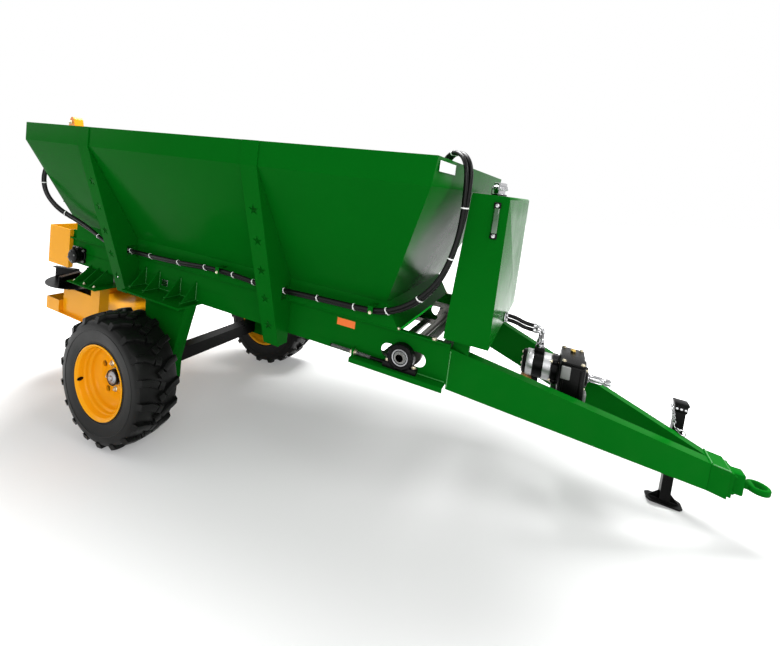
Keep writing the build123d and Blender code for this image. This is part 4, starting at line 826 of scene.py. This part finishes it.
def makeGearbox():
    case = gearCase
    rear, front, half, low, high = (case[label] for label in ("rear", "front", "half", "low", "high"))
    x, z = (rear + front) / 2, (low + high) / 2
    long, wide, tall = front - rear - 0.006, half * 2 - 0.004, high - low - 0.01
    ends = ((front, forward, 1), (rear, backward, -1))
    hub, rib = lathe(case["hub"], 40), block((0.01, 0.01, tall * 0.86), 0.003)
    pairs = [
        (block((long, wide, tall), 0.014, 4), moved(x, 0, z - 0.005)),
        (block((long - 0.006, wide - 0.008, 0.01), 0.002), moved(x, 0, high - 0.006)),
        *[(hub, placed((end - 0.004 * way, 0, case["shaft"]), out)) for end, out, way in ends],
    ]
    for side in (-1, 1):
        pairs += [(rib, moved(end, side * (half - 0.002), z - 0.004)) for end in (rear + 0.02, front - 0.02)]
        pairs.append((block((long * 0.94, 0.03, 0.02), 0.004), moved(x, side * (half - 0.008), low + 0.012)))
    addPiece("gearCase", "castBlack", pairs, replaces="gearbox")
    coverBolt, flangeBolt, nut = boltShape(0.0085), boltShape(0.0075), nutShape(0.0095)
    *covers, across = case["cover"]
    pairs = [
        (coverBolt, placed((rear + ahead, side * across, high - 0.001), upward, 25))
        for side in (1, -1) for ahead in covers
    ]
    for end, out, way in ends:
        spots = aroundDrive(end + 0.001 * way, case["flangeBolts"], case["flangeCircle"])
        pairs += [(flangeBolt, placed(spot, out, 10)) for spot in spots]
        pairs += [(nut, placed((end - 0.024 * way, side * (half - 0.01), low + 0.022))) for side in (-1, 1)]
    addPiece("gearCaseBolts", "zincPlate", pairs)
    plug = placed((x, 0.06, high - 0.001))
    addPiece("fillerPlug", "brassPlug", [(bar(0.013, 0.01, 6, 0.002), plug), (bar(0.008, 0.014, 20, 0.002), plug)])
    addPiece("castBosses", "castGrey", [
        (block((0.014, 0.05, 0.044), 0.005, 3), moved(front + 0.004, -0.088, 0.808)),
        (block((0.038, 0.012, 0.06), 0.004, 3), moved(rear + 0.03, -0.122, 0.905)),
    ], slot="cast_black")


makeGearbox()


pump = {
    "start": 2.072, "axis": 0.868, "ears": 4, "earsAt": 0.133, "earCircle": 0.064, "rearCircle": 0.042,
    "rear": [(0.0, 0.0), (0.052, 0.0), (0.058, 0.004), (0.06, 0.016), (0.06, 0.02), (0.0, 0.02)],
    "bandRear": [(0.0, 0.019), (0.064, 0.019), (0.065, 0.021), (0.065, 0.046), (0.064, 0.048), (0.0, 0.048)],
    "middle": [(0.0, 0.047), (0.063, 0.047), (0.0655, 0.05), (0.0655, 0.09), (0.063, 0.093), (0.0, 0.093)],
    "bandFront": [(0.0, 0.092), (0.062, 0.092), (0.0645, 0.094), (0.0645, 0.126), (0.06, 0.13), (0.0, 0.13)],
    "flange": [(0.0, 0.129), (0.056, 0.129), (0.066, 0.133), (0.066, 0.156), (0.063, 0.159), (0.0, 0.159)],
    "suctionWay": (-0.5, -0.2, 0.25),
    "suction": [
        (0.016, 0.022, 6, (2.128, -0.006, 0.782)), (0.012, 0.046, 24, (2.132, -0.004, 0.78)),
        (0.017, 0.014, 24, (2.093, -0.016, 0.8)),
    ],
}


def makePump():
    start, axis = pump["start"], pump["axis"]
    at = placed((start, 0, axis), forward)
    ears = aroundDrive(start + pump["earsAt"], pump["ears"], pump["earCircle"])
    rear = aroundDrive(start + 0.001, pump["ears"], pump["rearCircle"], 0.0)
    ear, nut, bolt = bar(0.014, 0.024, 20, 0.002), nutShape(0.0085), boltShape(0.007)
    addPiece("pumpCasting", "castBlack", [
        *[(lathe(pump[label], 48), at) for label in ("rear", "middle", "flange")],
        (block((0.046, 0.04, 0.03), 0.003), moved(start + 0.07, 0, axis + 0.072)),
        (block((0.03, 0.044, 0.034), 0.003), moved(start + 0.066, 0, axis - 0.07)),
        *[(ear, placed(spot, forward)) for spot in ears],
    ], replaces="hydraulic_pump")
    bands = [(lathe(pump[label], 48), at) for label in ("bandRear", "bandFront")]
    addPiece("pumpBands", "aluminiumBody", bands, slot="aluminium", replaces="hydraulic_pump")
    spots = [(nut, spot) for spot in ears] + [(bolt, spot) for spot in rear]
    addPiece("pumpBolts", "zincPlate", [(shape, placed(spot, backward, 20)) for shape, spot in spots])
    addPiece("suctionFitting", "brownFitting", [
        (bar(radius, length, sides, 0.002), placed(spot, pump["suctionWay"]))
        for radius, length, sides, spot in pump["suction"]
    ])


def elbowShape(bend, drop):
    # A crimped sleeve, a quarter bend and a straight leg down to its nut: starts at the origin along x.
    pipe = bmesh.new()
    bmesh.ops.create_circle(pipe, cap_ends=False, radius=0.0085, segments=20)
    bmesh.ops.rotate(pipe, cent=(0, 0, 0), matrix=Matrix.Rotation(math.pi / 2, 3, "Y"), verts=pipe.verts)
    bmesh.ops.spin(
        pipe, geom=pipe.verts[:] + pipe.edges[:], axis=(0, 1, 0), cent=(0, 0, -bend), angle=math.pi / 2, steps=10,
    )
    sleeve = lathe([
        (0.0, 0), (0.0125, 0), (0.0125, 0.01), (0.0115, 0.012), (0.0125, 0.014), (0.0125, 0.02), (0.0095, 0.022),
        (0.0, 0.022),
    ], 24)
    leg = [
        (bar(0.0085, drop - bend, 20), -bend), (bar(0.014, 0.018, 6, 0.0015), 0.02 - drop),
        (bar(0.0115, 0.03, 20, 0.001), 0.022 - drop),
    ]
    return joined([
        (sleeve, placed((0, 0, 0), forward)), (pipe, moved(0.021, 0, 0)),
        *[(shape, placed((0.021 + bend, 0, height), (0, 0, -1))) for shape, height in leg],
    ])


elbows = {"start": (2.1, 1.04), "foot": 0.968, "riser": 2.142, "port": (1.962, 0, 1.06)}


def makeElbows():
    x, middle = elbows["start"]
    pairs = []
    for way, bend in ((1, 0.024), (-1, 0.014)):
        height = middle + way * pumpHoses["spacing"]
        pairs.append((elbowShape(bend, height - elbows["foot"]), moved(x, 0, height)))
    pairs.append((bar(0.017, 0.034, 24, 0.002), placed((elbows["riser"], 0, 0.936))))
    pairs.append((bar(0.02, 0.014, 6, 0.002), placed((elbows["riser"], 0, 0.948))))
    addPiece("hoseElbows", "brightPlate", pairs, slot="bright", replaces="pump_fittings")
    port = moved(*elbows["port"])
    pairs = [(block((0.008, 0.052, 0.044), 0.002), port)]
    for way in (-1, 1):
        nutSpot = port @ placed((0.002, 0, way * pumpHoses["spacing"]), forward)
        pairs.append((bar(0.0135, 0.012, 6, 0.0015), nutSpot))
        pairs.append((boltShape(0.005), port @ placed((0.004, way * 0.02, 0), forward)))
    addPiece("tankPort", "brightPlate", pairs, slot="bright", replaces="pump_fittings")


makePump()
makeElbows()
print("stage: pump and gearbox")


powerShaft = {"start": 2.361, "end": 2.455, "height": 0.868, "core": 0.015, "tip": 0.0174, "splines": 6}


def makePowerShaft():
    at = placed((powerShaft["start"], 0, powerShaft["height"]), forward)
    length = powerShaft["end"] - powerShaft["start"]
    core = powerShaft["core"]
    groove, waist = length * 0.62, core * 0.92
    pairs = [(lathe([
        (0.0, 0), (0.022, 0), (0.022, 0.004), (core, 0.008), (core, groove), (waist, groove + 0.002),
        (waist, groove + 0.008), (core, groove + 0.01), (core, length - 0.003), (core - 0.003, length),
        (0.0, length),
    ], 36), at)]
    for start, stop in ((0.01, groove), (groove + 0.01, length - 0.002)):
        key = block((0.006, 0.0088, stop - start), 0.001)
        pairs += ringed(key, at, powerShaft["splines"], powerShaft["tip"] - 0.003, (start + stop) / 2)
    addPiece("splinedShaft", "brightPlate", pairs, "power_shaft", "steel", replaces="pto_shaft")


makePowerShaft()


motor = {
    "place": (-0.915, -0.425, 0.884), "bolts": 4, "boltCircle": 0.056, "ports": 0.018,
    "flange": [(0.0, 0), (0.056, 0), (0.058, 0.003), (0.058, 0.011), (0.055, 0.014), (0.0, 0.014)],
    "body": [
        (0.0, 0.013), (0.046, 0.013), (0.049, 0.017), (0.049, 0.026), (0.046, 0.028), (0.046, 0.032),
        (0.05, 0.034), (0.05, 0.048), (0.047, 0.05), (0.047, 0.054), (0.05, 0.056), (0.05, 0.066),
        (0.045, 0.071), (0.03, 0.074), (0.0, 0.074),
    ],
}


def makeFloorMotor():
    at = placed(motor["place"], rightward)
    count, circle = motor["bolts"], motor["boltCircle"]
    port, portNut = bar(0.013, 0.02, 24, 0.002), bar(0.011, 0.008, 6, 0.0015)
    ports = [at @ placed((way * motor["ports"], 0.044, 0.044), (0, 1, 0)) for way in (-1, 1)]
    addPiece("floorMotor", "castBlack", [
        (lathe(motor["flange"], 48), at), (lathe(motor["body"], 48), at),
        *ringed(bar(0.016, 0.014, 24, 0.002), at, count, circle, 0.0, 45),
        *ringed(block((0.01, 0.018, 0.052), 0.003), at, count, 0.048, 0.042),
        *[(port, spot) for spot in ports],
    ], replaces="drive_motor")
    addPiece("floorMotorBolts", "castGrey", [
        *ringed(nutShape(0.0085), at, count, circle, 0.0138, 45),
        *ringed(boltShape(0.006), at, count, 0.036, 0.0735, 20),
        *[(portNut, spot @ moved(0, 0, 0.019)) for spot in ports],
    ])


makeFloorMotor()


gateRam = {
    "x": -0.993, "halfTrack": 0.48, "low": 1.53, "headLow": 1.77, "pin": 1.828, "pinReach": 0.032,
    "gland": [
        (0.012, -0.006), (0.024, -0.006), (0.0285, -0.002), (0.0285, 0.016), (0.0272, 0.018), (0.026, 0.018),
    ],
    "head": [(0.026, 0.0), (0.0285, 0.002), (0.0285, 0.02), (0.027, 0.022), (0.026, 0.022)],
}


def makeGateRams():
    glands, pins, nut = [], [], nutShape(0.0125)
    for side in (-1, 1):
        x, y = gateRam["x"], side * gateRam["halfTrack"]
        glands.append((lathe(gateRam["gland"], 36), placed((x, y, gateRam["low"]))))
        glands.append((lathe(gateRam["head"], 36), placed((x, y, gateRam["headLow"]))))
        for way in (-side, side):
            pins.append((nut, placed((x, y + way * gateRam["pinReach"], gateRam["pin"]), (0, way, 0), 10)))
    addPiece("ramGlands", "castBlack", glands, slot="black_paint")
    addPiece("ramPins", "zincPlate", pins)


makeGateRams()


tankCap = {
    "place": (1.882, -0.25, 1.667), "grips": 18,
    "tiers": [
        (0.0, 0.0), (0.03, 0.0), (0.03, 0.008), (0.0245, 0.01), (0.0245, 0.024), (0.0335, 0.026), (0.0335, 0.04),
        (0.03, 0.044), (0.028, 0.046), (0.028, 0.056), (0.024, 0.058), (0.0, 0.0585),
    ],
    "strap": [(0.03, 0.001), (0.033, 0.001), (0.033, 0.006), (0.03, 0.006), (0.03, 0.001)],
}


def makeTankCap():
    at = placed(tankCap["place"])
    grips = ringed(block((0.003, 0.005, 0.012), 0.001), at, tankCap["grips"], 0.0335, 0.033)
    addPiece("tankCap", "brightPlate", [(lathe(tankCap["tiers"], 54), at), *grips], slot="bright",
             replaces="filler_cap")
    tab = block((0.003, 0.01, 0.04), 0.001)
    addPiece("capStrap", "castBlack", [
        (lathe(tankCap["strap"], 40), at), (tab, moved(*tankCap["place"]) @ moved(-0.034, 0, 0.022)),
    ], slot="black_paint")


makeTankCap()


levelGauge = {"x": 1.914, "y": -0.481, "high": 1.64, "low": 1.49, "depth": 0.012, "end": 0.013}


def makeLevelGauge():
    x, y, high, low, depth, end = (levelGauge[label] for label in ("x", "y", "high", "low", "depth", "end"))
    # The tube's green colour is a painted reflection of the green tank.
    tube, cap = block((0.024, depth, high - low - 0.044), 0.005, 3), block((0.028, depth * 0.8, 0.026), 0.004, 3)
    pairs = [(tube, moved(x, y - depth / 2, (high + low) / 2))]
    addPiece("gaugeTube", "gaugeGlassPaintedReflection", pairs, slot="gauge_glass", replaces="level_gauge")
    heights = (low + end, high - end)
    pairs = [(cap, moved(x, y - depth * 0.4, height)) for height in heights]
    addPiece("gaugeEnds", "castBlack", pairs, slot="gauge_glass", replaces="level_gauge")
    pairs = [(boltShape(0.0065), placed((x, y - depth * 0.8, height), rightward)) for height in heights]
    addPiece("gaugeBolts", "brightPlate", pairs, slot="bright")


makeLevelGauge()
print("stage: motors, rams, cap and gauge")


towRing = {
    "block": (2.915, 2.96), "height": 0.612, "centre": 3.008, "halfBlock": 0.028, "blockHeight": 0.092,
    "neck": [(2.955, 0.017), (2.975, 0.019), (2.992, 0.026)], "inner": 0.026, "outer": 0.04, "thick": 0.028,
    "soft": 0.006, "corner": 0.002, "nuts": (0.04, 0.035),
}


def makeTowRing():
    ring = towRing
    start, end = ring["block"]
    height, half, soft, corner = ring["height"], ring["thick"] / 2, ring["soft"], ring["corner"]
    inner, outer = ring["inner"], ring["outer"]
    under = [
        (inner, soft - half), (inner + corner, corner - half), (inner + soft, -half),
        (outer - soft, -half), (outer - corner, corner - half), (outer, soft - half),
    ]
    profile = under + [(radius, -rise) for radius, rise in under[::-1]] + under[:1]
    neck = [(x, -y) for x, y in ring["neck"]] + ring["neck"][::-1]
    foot = block((end - start, ring["halfBlock"] * 2, ring["blockHeight"]), 0.008, 3)
    addPiece("forgedRing", "greenPaint", [
        (foot, moved((start + end) / 2, 0, height)),
        (lathe(profile, 56), placed((ring["centre"], 0, height))),
        (plate(neck, ring["thick"] - 0.002, 0.004), moved(0, 0, height - half + 0.001)),
    ], replaces="tow_ring")
    across, rise = ring["nuts"]
    addPiece("hitchNuts", "greenPaint", [
        (nutShape(0.009), placed((start, side * across, height + way * rise), forward, 10))
        for side in (-1, 1) for way in (-1, 1)
    ])


makeTowRing()


jack = {
    "x": 2.75, "side": 0.04, "top": 0.832, "pinHeight": 0.712, "holes": 3, "holePitch": 0.0165, "rib": 0.04,
    "chain": [
        (2.716, 0.02, 0.813), (2.714, -0.012, 0.802), (2.722, -0.016, 0.776), (2.728, -0.017, 0.75),
        (2.731, -0.018, 0.728), (2.738, -0.019, 0.716), (2.752, -0.021, 0.712),
    ],
    "linkLength": 0.0105,
}
legLow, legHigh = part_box("jack_leg")
jackY = (legLow.y + legHigh.y) / 2


def circleProfile(reach, radius, sides):
    # Corners of a small circle, to be spun to a ring.
    turns = [2 * math.pi * number / sides for number in range(sides + 1)]
    return [(reach + radius * math.cos(turn), radius * math.sin(turn)) for turn in turns]


def linkShape(half, wire):
    # One long chain link along its own z.
    shape = lathe(circleProfile(half, wire, 8), 14)
    for corner in shape.verts:
        corner.co.y += math.copysign(half * 0.55, corner.co.y) if abs(corner.co.y) > 1e-6 else 0
    bmesh.ops.rotate(shape, cent=(0, 0, 0), matrix=Matrix.Rotation(math.pi / 2, 3, "X"), verts=shape.verts)
    return shape


def makeJackDetail():
    x, side, top = jack["x"], jack["side"], jack["top"]
    half = side / 2
    face = jackY - half
    footHeight = (parked.inverted() @ Vector((legHigh.x, jackY, 0))).z
    pairs = [
        (block((side + 0.016, side + 0.016, 0.012), 0.003), moved(x, jackY, top - 0.006)),
        (block((side + 0.008, side + 0.008, 0.034), 0.002), moved(x, jackY, top - 0.028)),
    ]
    for way in (-1, 1):
        rib = plate([(0, 0), (way * jack["rib"], 0), (0, jack["rib"])], 0.006, 0.001)
        at = moved(x + way * half, jackY + 0.003, footHeight + 0.008)
        pairs.append((rib, at @ Matrix.Rotation(math.pi / 2, 4, "X")))
    addPiece("jackCap", "blackPaint", pairs, "drop_leg")
    hole = lathe([(0, 0), (0.0045, 0), (0.005, 0.0012), (0, 0.0016)], 20)
    spots = [x + jack["holePitch"] * (number - 1) for number in range(jack["holes"])]
    pairs = [(hole, placed((spot, face - 0.0035, top - 0.028), rightward)) for spot in spots]
    addPiece("jackHoles", "brightPlate", pairs, "drop_leg", "steel")
    pairs, link = [], linkShape(0.0052, 0.0016)
    chain = [Vector((along, face + y, z)) for along, y, z in jack["chain"]]
    for spot, (start, end) in enumerate(zip(chain, chain[1:])):
        count = max(1, round((end - start).length / jack["linkLength"]))
        for number in range(count):
            at = start.lerp(end, (number + 0.5) / count)
            pairs.append((link, placed(at, end - start, 90 * ((number + spot) % 2))))
    pin = moved(x, face - 0.007, jack["pinHeight"])
    pairs.append((bar(0.006, 0.018, 20, 0.0015), pin @ placed((0, 0, 0), rightward)))
    loop = lathe(circleProfile(0.015, 0.002, 8), 32)
    pairs.append((loop, pin @ placed((0.01, -0.02, -0.004), (0.2, -0.4, 1))))
    addPiece("jackChainAndPin", "brightPlate", pairs, slot="steel")


makeJackDetail()
print("stage: towing ring and jack")


stickers = [
    # name, middle, outward way, width, height, finish
    ("orangeLabel", (1.277, -0.425, 0.956), rightward, 0.1, 0.036, "orangeLabel"),
    ("serialPlate", (-0.028, -0.425, 0.872), rightward, 0.055, 0.042, "brightPlate"),
    ("frontLabel", (1.7395, -0.655, 1.748), forward, 0.235, 0.04, "whitePlastic"),
]
for name, middle, out, width, height, finish in stickers:
    turn = Matrix((Vector(upward).cross(Vector(out)), upward, out)).transposed().to_4x4()
    addPiece(name, finish, [(block((width, height, 0.0008), 0.0003, 1), moved(*middle) @ turn)])
addPiece("plateRivets", "bareSteel", [
    (bar(0.0018, 0.0014, 12, 0.0005), placed((x, -0.4254, z), rightward))
    for z in (0.889, 0.855) for x in (-0.05, -0.006)
])


smallBolts = {
    "rim": [(1.551, 0.437, 1.003), (1.725, 0.44, 1.003)],
    "clips": [(0.49, -0.518, 1.062), (1.434, -0.518, 1.071)],
    "brackets": [(-0.8, 0.53, 0.736), (-0.69, 0.53, 0.736), (-0.58, 0.53, 0.736)],
}


def makeSmallBolts():
    rimBolt, clipBolt, nut = boltShape(0.011), boltShape(0.007), nutShape(0.009)
    pairs = [(clipBolt, placed(place, rightward, 15)) for place in smallBolts["clips"]]
    for side in (-1, 1):
        pairs += [(rimBolt, placed((x, side * y, z), upward, 15)) for x, y, z in smallBolts["rim"]]
        pairs += [(nut, placed((x, side * y, z), upward, 10 * number))
                   for number, (x, y, z) in enumerate(smallBolts["brackets"])]
    addPiece("frameBolts", "zincPlate", pairs)


makeSmallBolts()


seams = {
    # start, end, bead radius: the rails' rows lie on both sides of the machine
    "rails": [
        ((-0.228, 0.428, 0.829), (0.28, 0.428, 0.829), 0.0035),
        ((1.345, 0.428, 0.823), (1.79, 0.428, 0.823), 0.0035),
        ((1.798, 0.418, 0.8), (1.798, 0.418, 0.965), 0.004),
    ],
    "head": [
        ((2.837, -0.056, 0.68), (2.837, 0.056, 0.68), 0.0035),
        ((2.84, -0.06, 0.678), (2.898, -0.06, 0.671), 0.003),
        ((2.902, -0.052, 0.664), (2.902, 0.052, 0.664), 0.003),
        ((2.915, -0.03, 0.572), (2.915, -0.03, 0.652), 0.003),
    ],
    "gussets": (-0.206, -0.076, 0.114, 0.249), "gussetEdge": 0.0055, "gussetBead": 0.0024,
    "gussetReach": (0.428, 0.538), "gussetRise": (0.83, 0.832, 0.935), "rippleLength": 0.0045,
}


def weldBead(start, end, radius):
    # A row of overlapping ripples between two points.
    start, end = Vector(start), Vector(end)
    length = (end - start).length
    count = max(4, int(length / seams["rippleLength"]))
    profile = [(0.0, 0.0)]
    for number in range(count):
        low = length * number / count
        profile += [(radius * 0.8, low + 0.0002), (radius, low + length / count * 0.6)]
    return lathe(profile + [(radius * 0.8, length), (0.0, length)], 10), placed(start, end - start)


def makeSeams():
    rows = list(seams["head"])
    inner, outer = seams["gussetReach"]
    foot, low, high = seams["gussetRise"]
    for side in (-1, 1):
        rows += [((x, side * y, z), (farX, side * farY, farZ), radius)
                 for (x, y, z), (farX, farY, farZ), radius in seams["rails"]]
        for x in seams["gussets"]:
            for spot in (x - seams["gussetEdge"], x + seams["gussetEdge"]):
                rows.append(((spot, side * inner, foot), (spot, side * outer, foot), seams["gussetBead"]))
                rows.append(((spot, side * inner, low), (spot, side * inner, high), seams["gussetBead"]))
    # The beads take the lighter green copy: a painted highlight on the seams.
    addPiece("weldSeams", "weldBead", [weldBead(*row) for row in rows], slot="green_paint")


makeSeams()


discs = {
    "x": -1.13, "half": 0.272, "top": 0.624, "vanes": 4, "turn": 20.0, "vaneBolts": (0.105, 0.165, 0.225),
    "hubBolts": 6, "hubCircle": 0.038, "hubTop": 0.04,
    "hubCap": [(0.0, 0.0), (0.02, 0.0), (0.02, 0.01), (0.014, 0.016), (0.0, 0.018)],
}


def makeDiscDetail(side):
    name = "Right" if side < 0 else "Left"
    centre = moved(discs["x"], side * discs["half"], discs["top"])
    vaneBolt, hubBolt, pairs = boltShape(0.0075), boltShape(0.007), []
    for number in range(discs["vanes"]):
        arm = centre @ spun(-side * (360 * number / discs["vanes"] + discs["turn"]))
        pairs += [(vaneBolt, arm @ placed((reach, 0.004 * side, 0.045), (0, side, 0)))
                   for reach in discs["vaneBolts"]]
    for number in range(discs["hubBolts"]):
        turn, circle = 2 * math.pi * number / discs["hubBolts"], discs["hubCircle"]
        spot = (circle * math.cos(turn), circle * math.sin(turn), discs["hubTop"])
        pairs.append((hubBolt, centre @ placed(spot)))
    pairs.append((lathe(discs["hubCap"], 32), centre @ moved(0, 0, discs["hubTop"])))
    addPiece("discBolts" + name, "zincPlate", pairs, "spinner_disc_" + name.lower())


for wheelSide in (-1, 1):
    makeDiscDetail(wheelSide)
print("stage: bolts, seams and stickers")


plateEdge = {
    "width": 0.0016, "angle": 40.0, "merge": 0.00002,
    "nodes": [
        "hopper", "oil_tank", "drawbar_beam_right", "drawbar_beam_left", "drawbar_head", "side_rail_right",
        "side_rail_left", "wheel_brackets", "wheel_legs", "spinner_frame", "rear_hood", "jack_leg", "jack_sleeve",
        "gate", "axle_beam", "cylinder_brackets", "posts_left", "posts_right", "spinner_brackets", "cross_members",
        "take_up_angles",
    ],
}


def sharpenNodes():
    # Folded plates show a fine bright edge: join the loose triangles and round the edges.
    for name in plateEdge["nodes"]:
        node = frame["nodes"][name]
        weld = node.modifiers.new("joinTriangles", "WELD")
        weld.merge_threshold = plateEdge["merge"]
        edge = node.modifiers.new("plateEdge", "BEVEL")
        edge.width = plateEdge["width"]
        edge.segments = 2
        edge.limit_method = "ANGLE"
        edge.angle_limit = math.radians(plateEdge["angle"])
        edge.harden_normals = True


sharpenNodes()
print("stage: plate edges")


# The floor glows less within a set reach of the machine: a painted shadow there.
studio = {
    "floorSide": 60.0, "floorColour": (0.62, 0.62, 0.62), "paintedShadowGlow": 0.22, "farGlow": 1.0,
    "glowSquash": (0.62, 1.0, 1.0), "glowStart": 1.35, "glowEnd": 2.05,
    "worldStrength": 0.62, "shownWhite": 1.0,
}
white = (1, 1, 1, 1)


def seenOrMirrored(tree):
    # One for rays that show the surroundings: to the camera, in gloss and through glass.
    path = addNode(tree, "LightPath").outputs
    shown = mathNode(tree, "MAXIMUM", path["Is Camera Ray"], path["Is Glossy Ray"])
    return mathNode(tree, "MAXIMUM", shown, path["Is Transmission Ray"])


def makeFloor():
    bm = bmesh.new()
    bmesh.ops.create_grid(bm, x_segments=1, y_segments=1, size=studio["floorSide"] / 2)
    mesh = bpy.data.meshes.new("studioFloor")
    bm.to_mesh(mesh)
    bm.free()
    floor = addObject("studioFloor", mesh)
    material, tree, shader = emptyMaterial("studioFloorPaint")
    # The floor's glow drops near the machine, a painted shadow round it on top of the lamps' real shadow; further
    # out it stays plain white.
    squash = addNode(tree, "VectorMath", {"operation": "MULTIPLY"})
    feed(tree, squash, {0: addNode(tree, "TexCoord").outputs["Object"], 1: studio["glowSquash"]})
    reach = addNode(tree, "VectorMath", {"operation": "LENGTH"}, Vector=squash.outputs["Vector"])
    paintedShadowFade = addNode(
        tree, "MapRange", {"interpolation_type": "SMOOTHSTEP"}, Value=reach.outputs["Value"],
        From_Min=studio["glowStart"], From_Max=studio["glowEnd"],
        To_Min=studio["paintedShadowGlow"], To_Max=studio["farGlow"],
    )
    feed(tree, shader, {
        "Base Color": (*studio["floorColour"], 1), "Roughness": 0.9, "Specular IOR Level": 0.0,
        "Emission Color": white,
        "Emission Strength": mathNode(tree, "MULTIPLY", seenOrMirrored(tree), paintedShadowFade.outputs["Result"]),
    })
    mesh.materials.append(material)


def makeWorld():
    world = bpy.data.worlds.new("studioWorld")
    bpy.context.scene.world = world
    world.use_nodes = True
    tree = world.node_tree
    tree.nodes.clear()
    soft = addNode(tree, "Background", Color=white, Strength=studio["worldStrength"])
    shown = addNode(tree, "Background", Color=white, Strength=studio["shownWhite"])
    mix = addNode(tree, "MixShader")
    feed(tree, mix, {0: seenOrMirrored(tree), 1: soft.outputs[0], 2: shown.outputs[0]})
    addNode(tree, "OutputWorld", Surface=mix.outputs[0])


lamps = [
    {"name": "topLamp", "place": (-0.5, 0.9, 5.2), "aim": (0, 0.0, 0.8), "size": (3.6, 2.4), "power": 720.0},
    {"name": "cameraLamp", "place": (3.4, -5.0, 3.0), "aim": (0.2, 0, 0.9), "size": (2.6, 2.6), "power": 110.0},
    {"name": "frontLamp", "place": (5.0, -0.8, 4.2), "aim": (1.4, 0, 1.2), "size": (2.4, 2.0), "power": 120.0},
    {"name": "rearLamp", "place": (-5.4, -2.6, 3.6), "aim": (-0.8, 0, 0.8), "size": (2.6, 2.6), "power": 50.0},
]


def makeLamps():
    for lamp in lamps:
        data = bpy.data.lights.new(lamp["name"], "AREA")
        data.shape = "RECTANGLE"
        data.size, data.size_y = lamp["size"]
        data.energy = lamp["power"]
        light = addObject(lamp["name"], data)
        light.location = lamp["place"]
        way = Vector(lamp["aim"]) - Vector(lamp["place"])
        light.rotation_euler = way.to_track_quat("-Z", "Y").to_euler()


cameraView = {
    "place": (1.435, -2.243, 1.392), "turn": (88.58, -0.5, 26.93),
    "lens": 19.3, "sensor": 36.0, "shift": (0.0473, -0.1412),
}


def makeCamera():
    data = bpy.data.cameras.new("studioCamera")
    data.lens = cameraView["lens"]
    data.sensor_width = cameraView["sensor"]
    data.shift_x, data.shift_y = cameraView["shift"]
    camera = addObject("studioCamera", data)
    camera.location = cameraView["place"]
    camera.rotation_euler = [math.radians(angle) for angle in cameraView["turn"]]
    bpy.context.scene.camera = camera


makeFloor()
makeWorld()
makeLamps()
makeCamera()
bpy.context.scene.view_settings.view_transform = "Standard"
print("stage: floor, light and camera set")
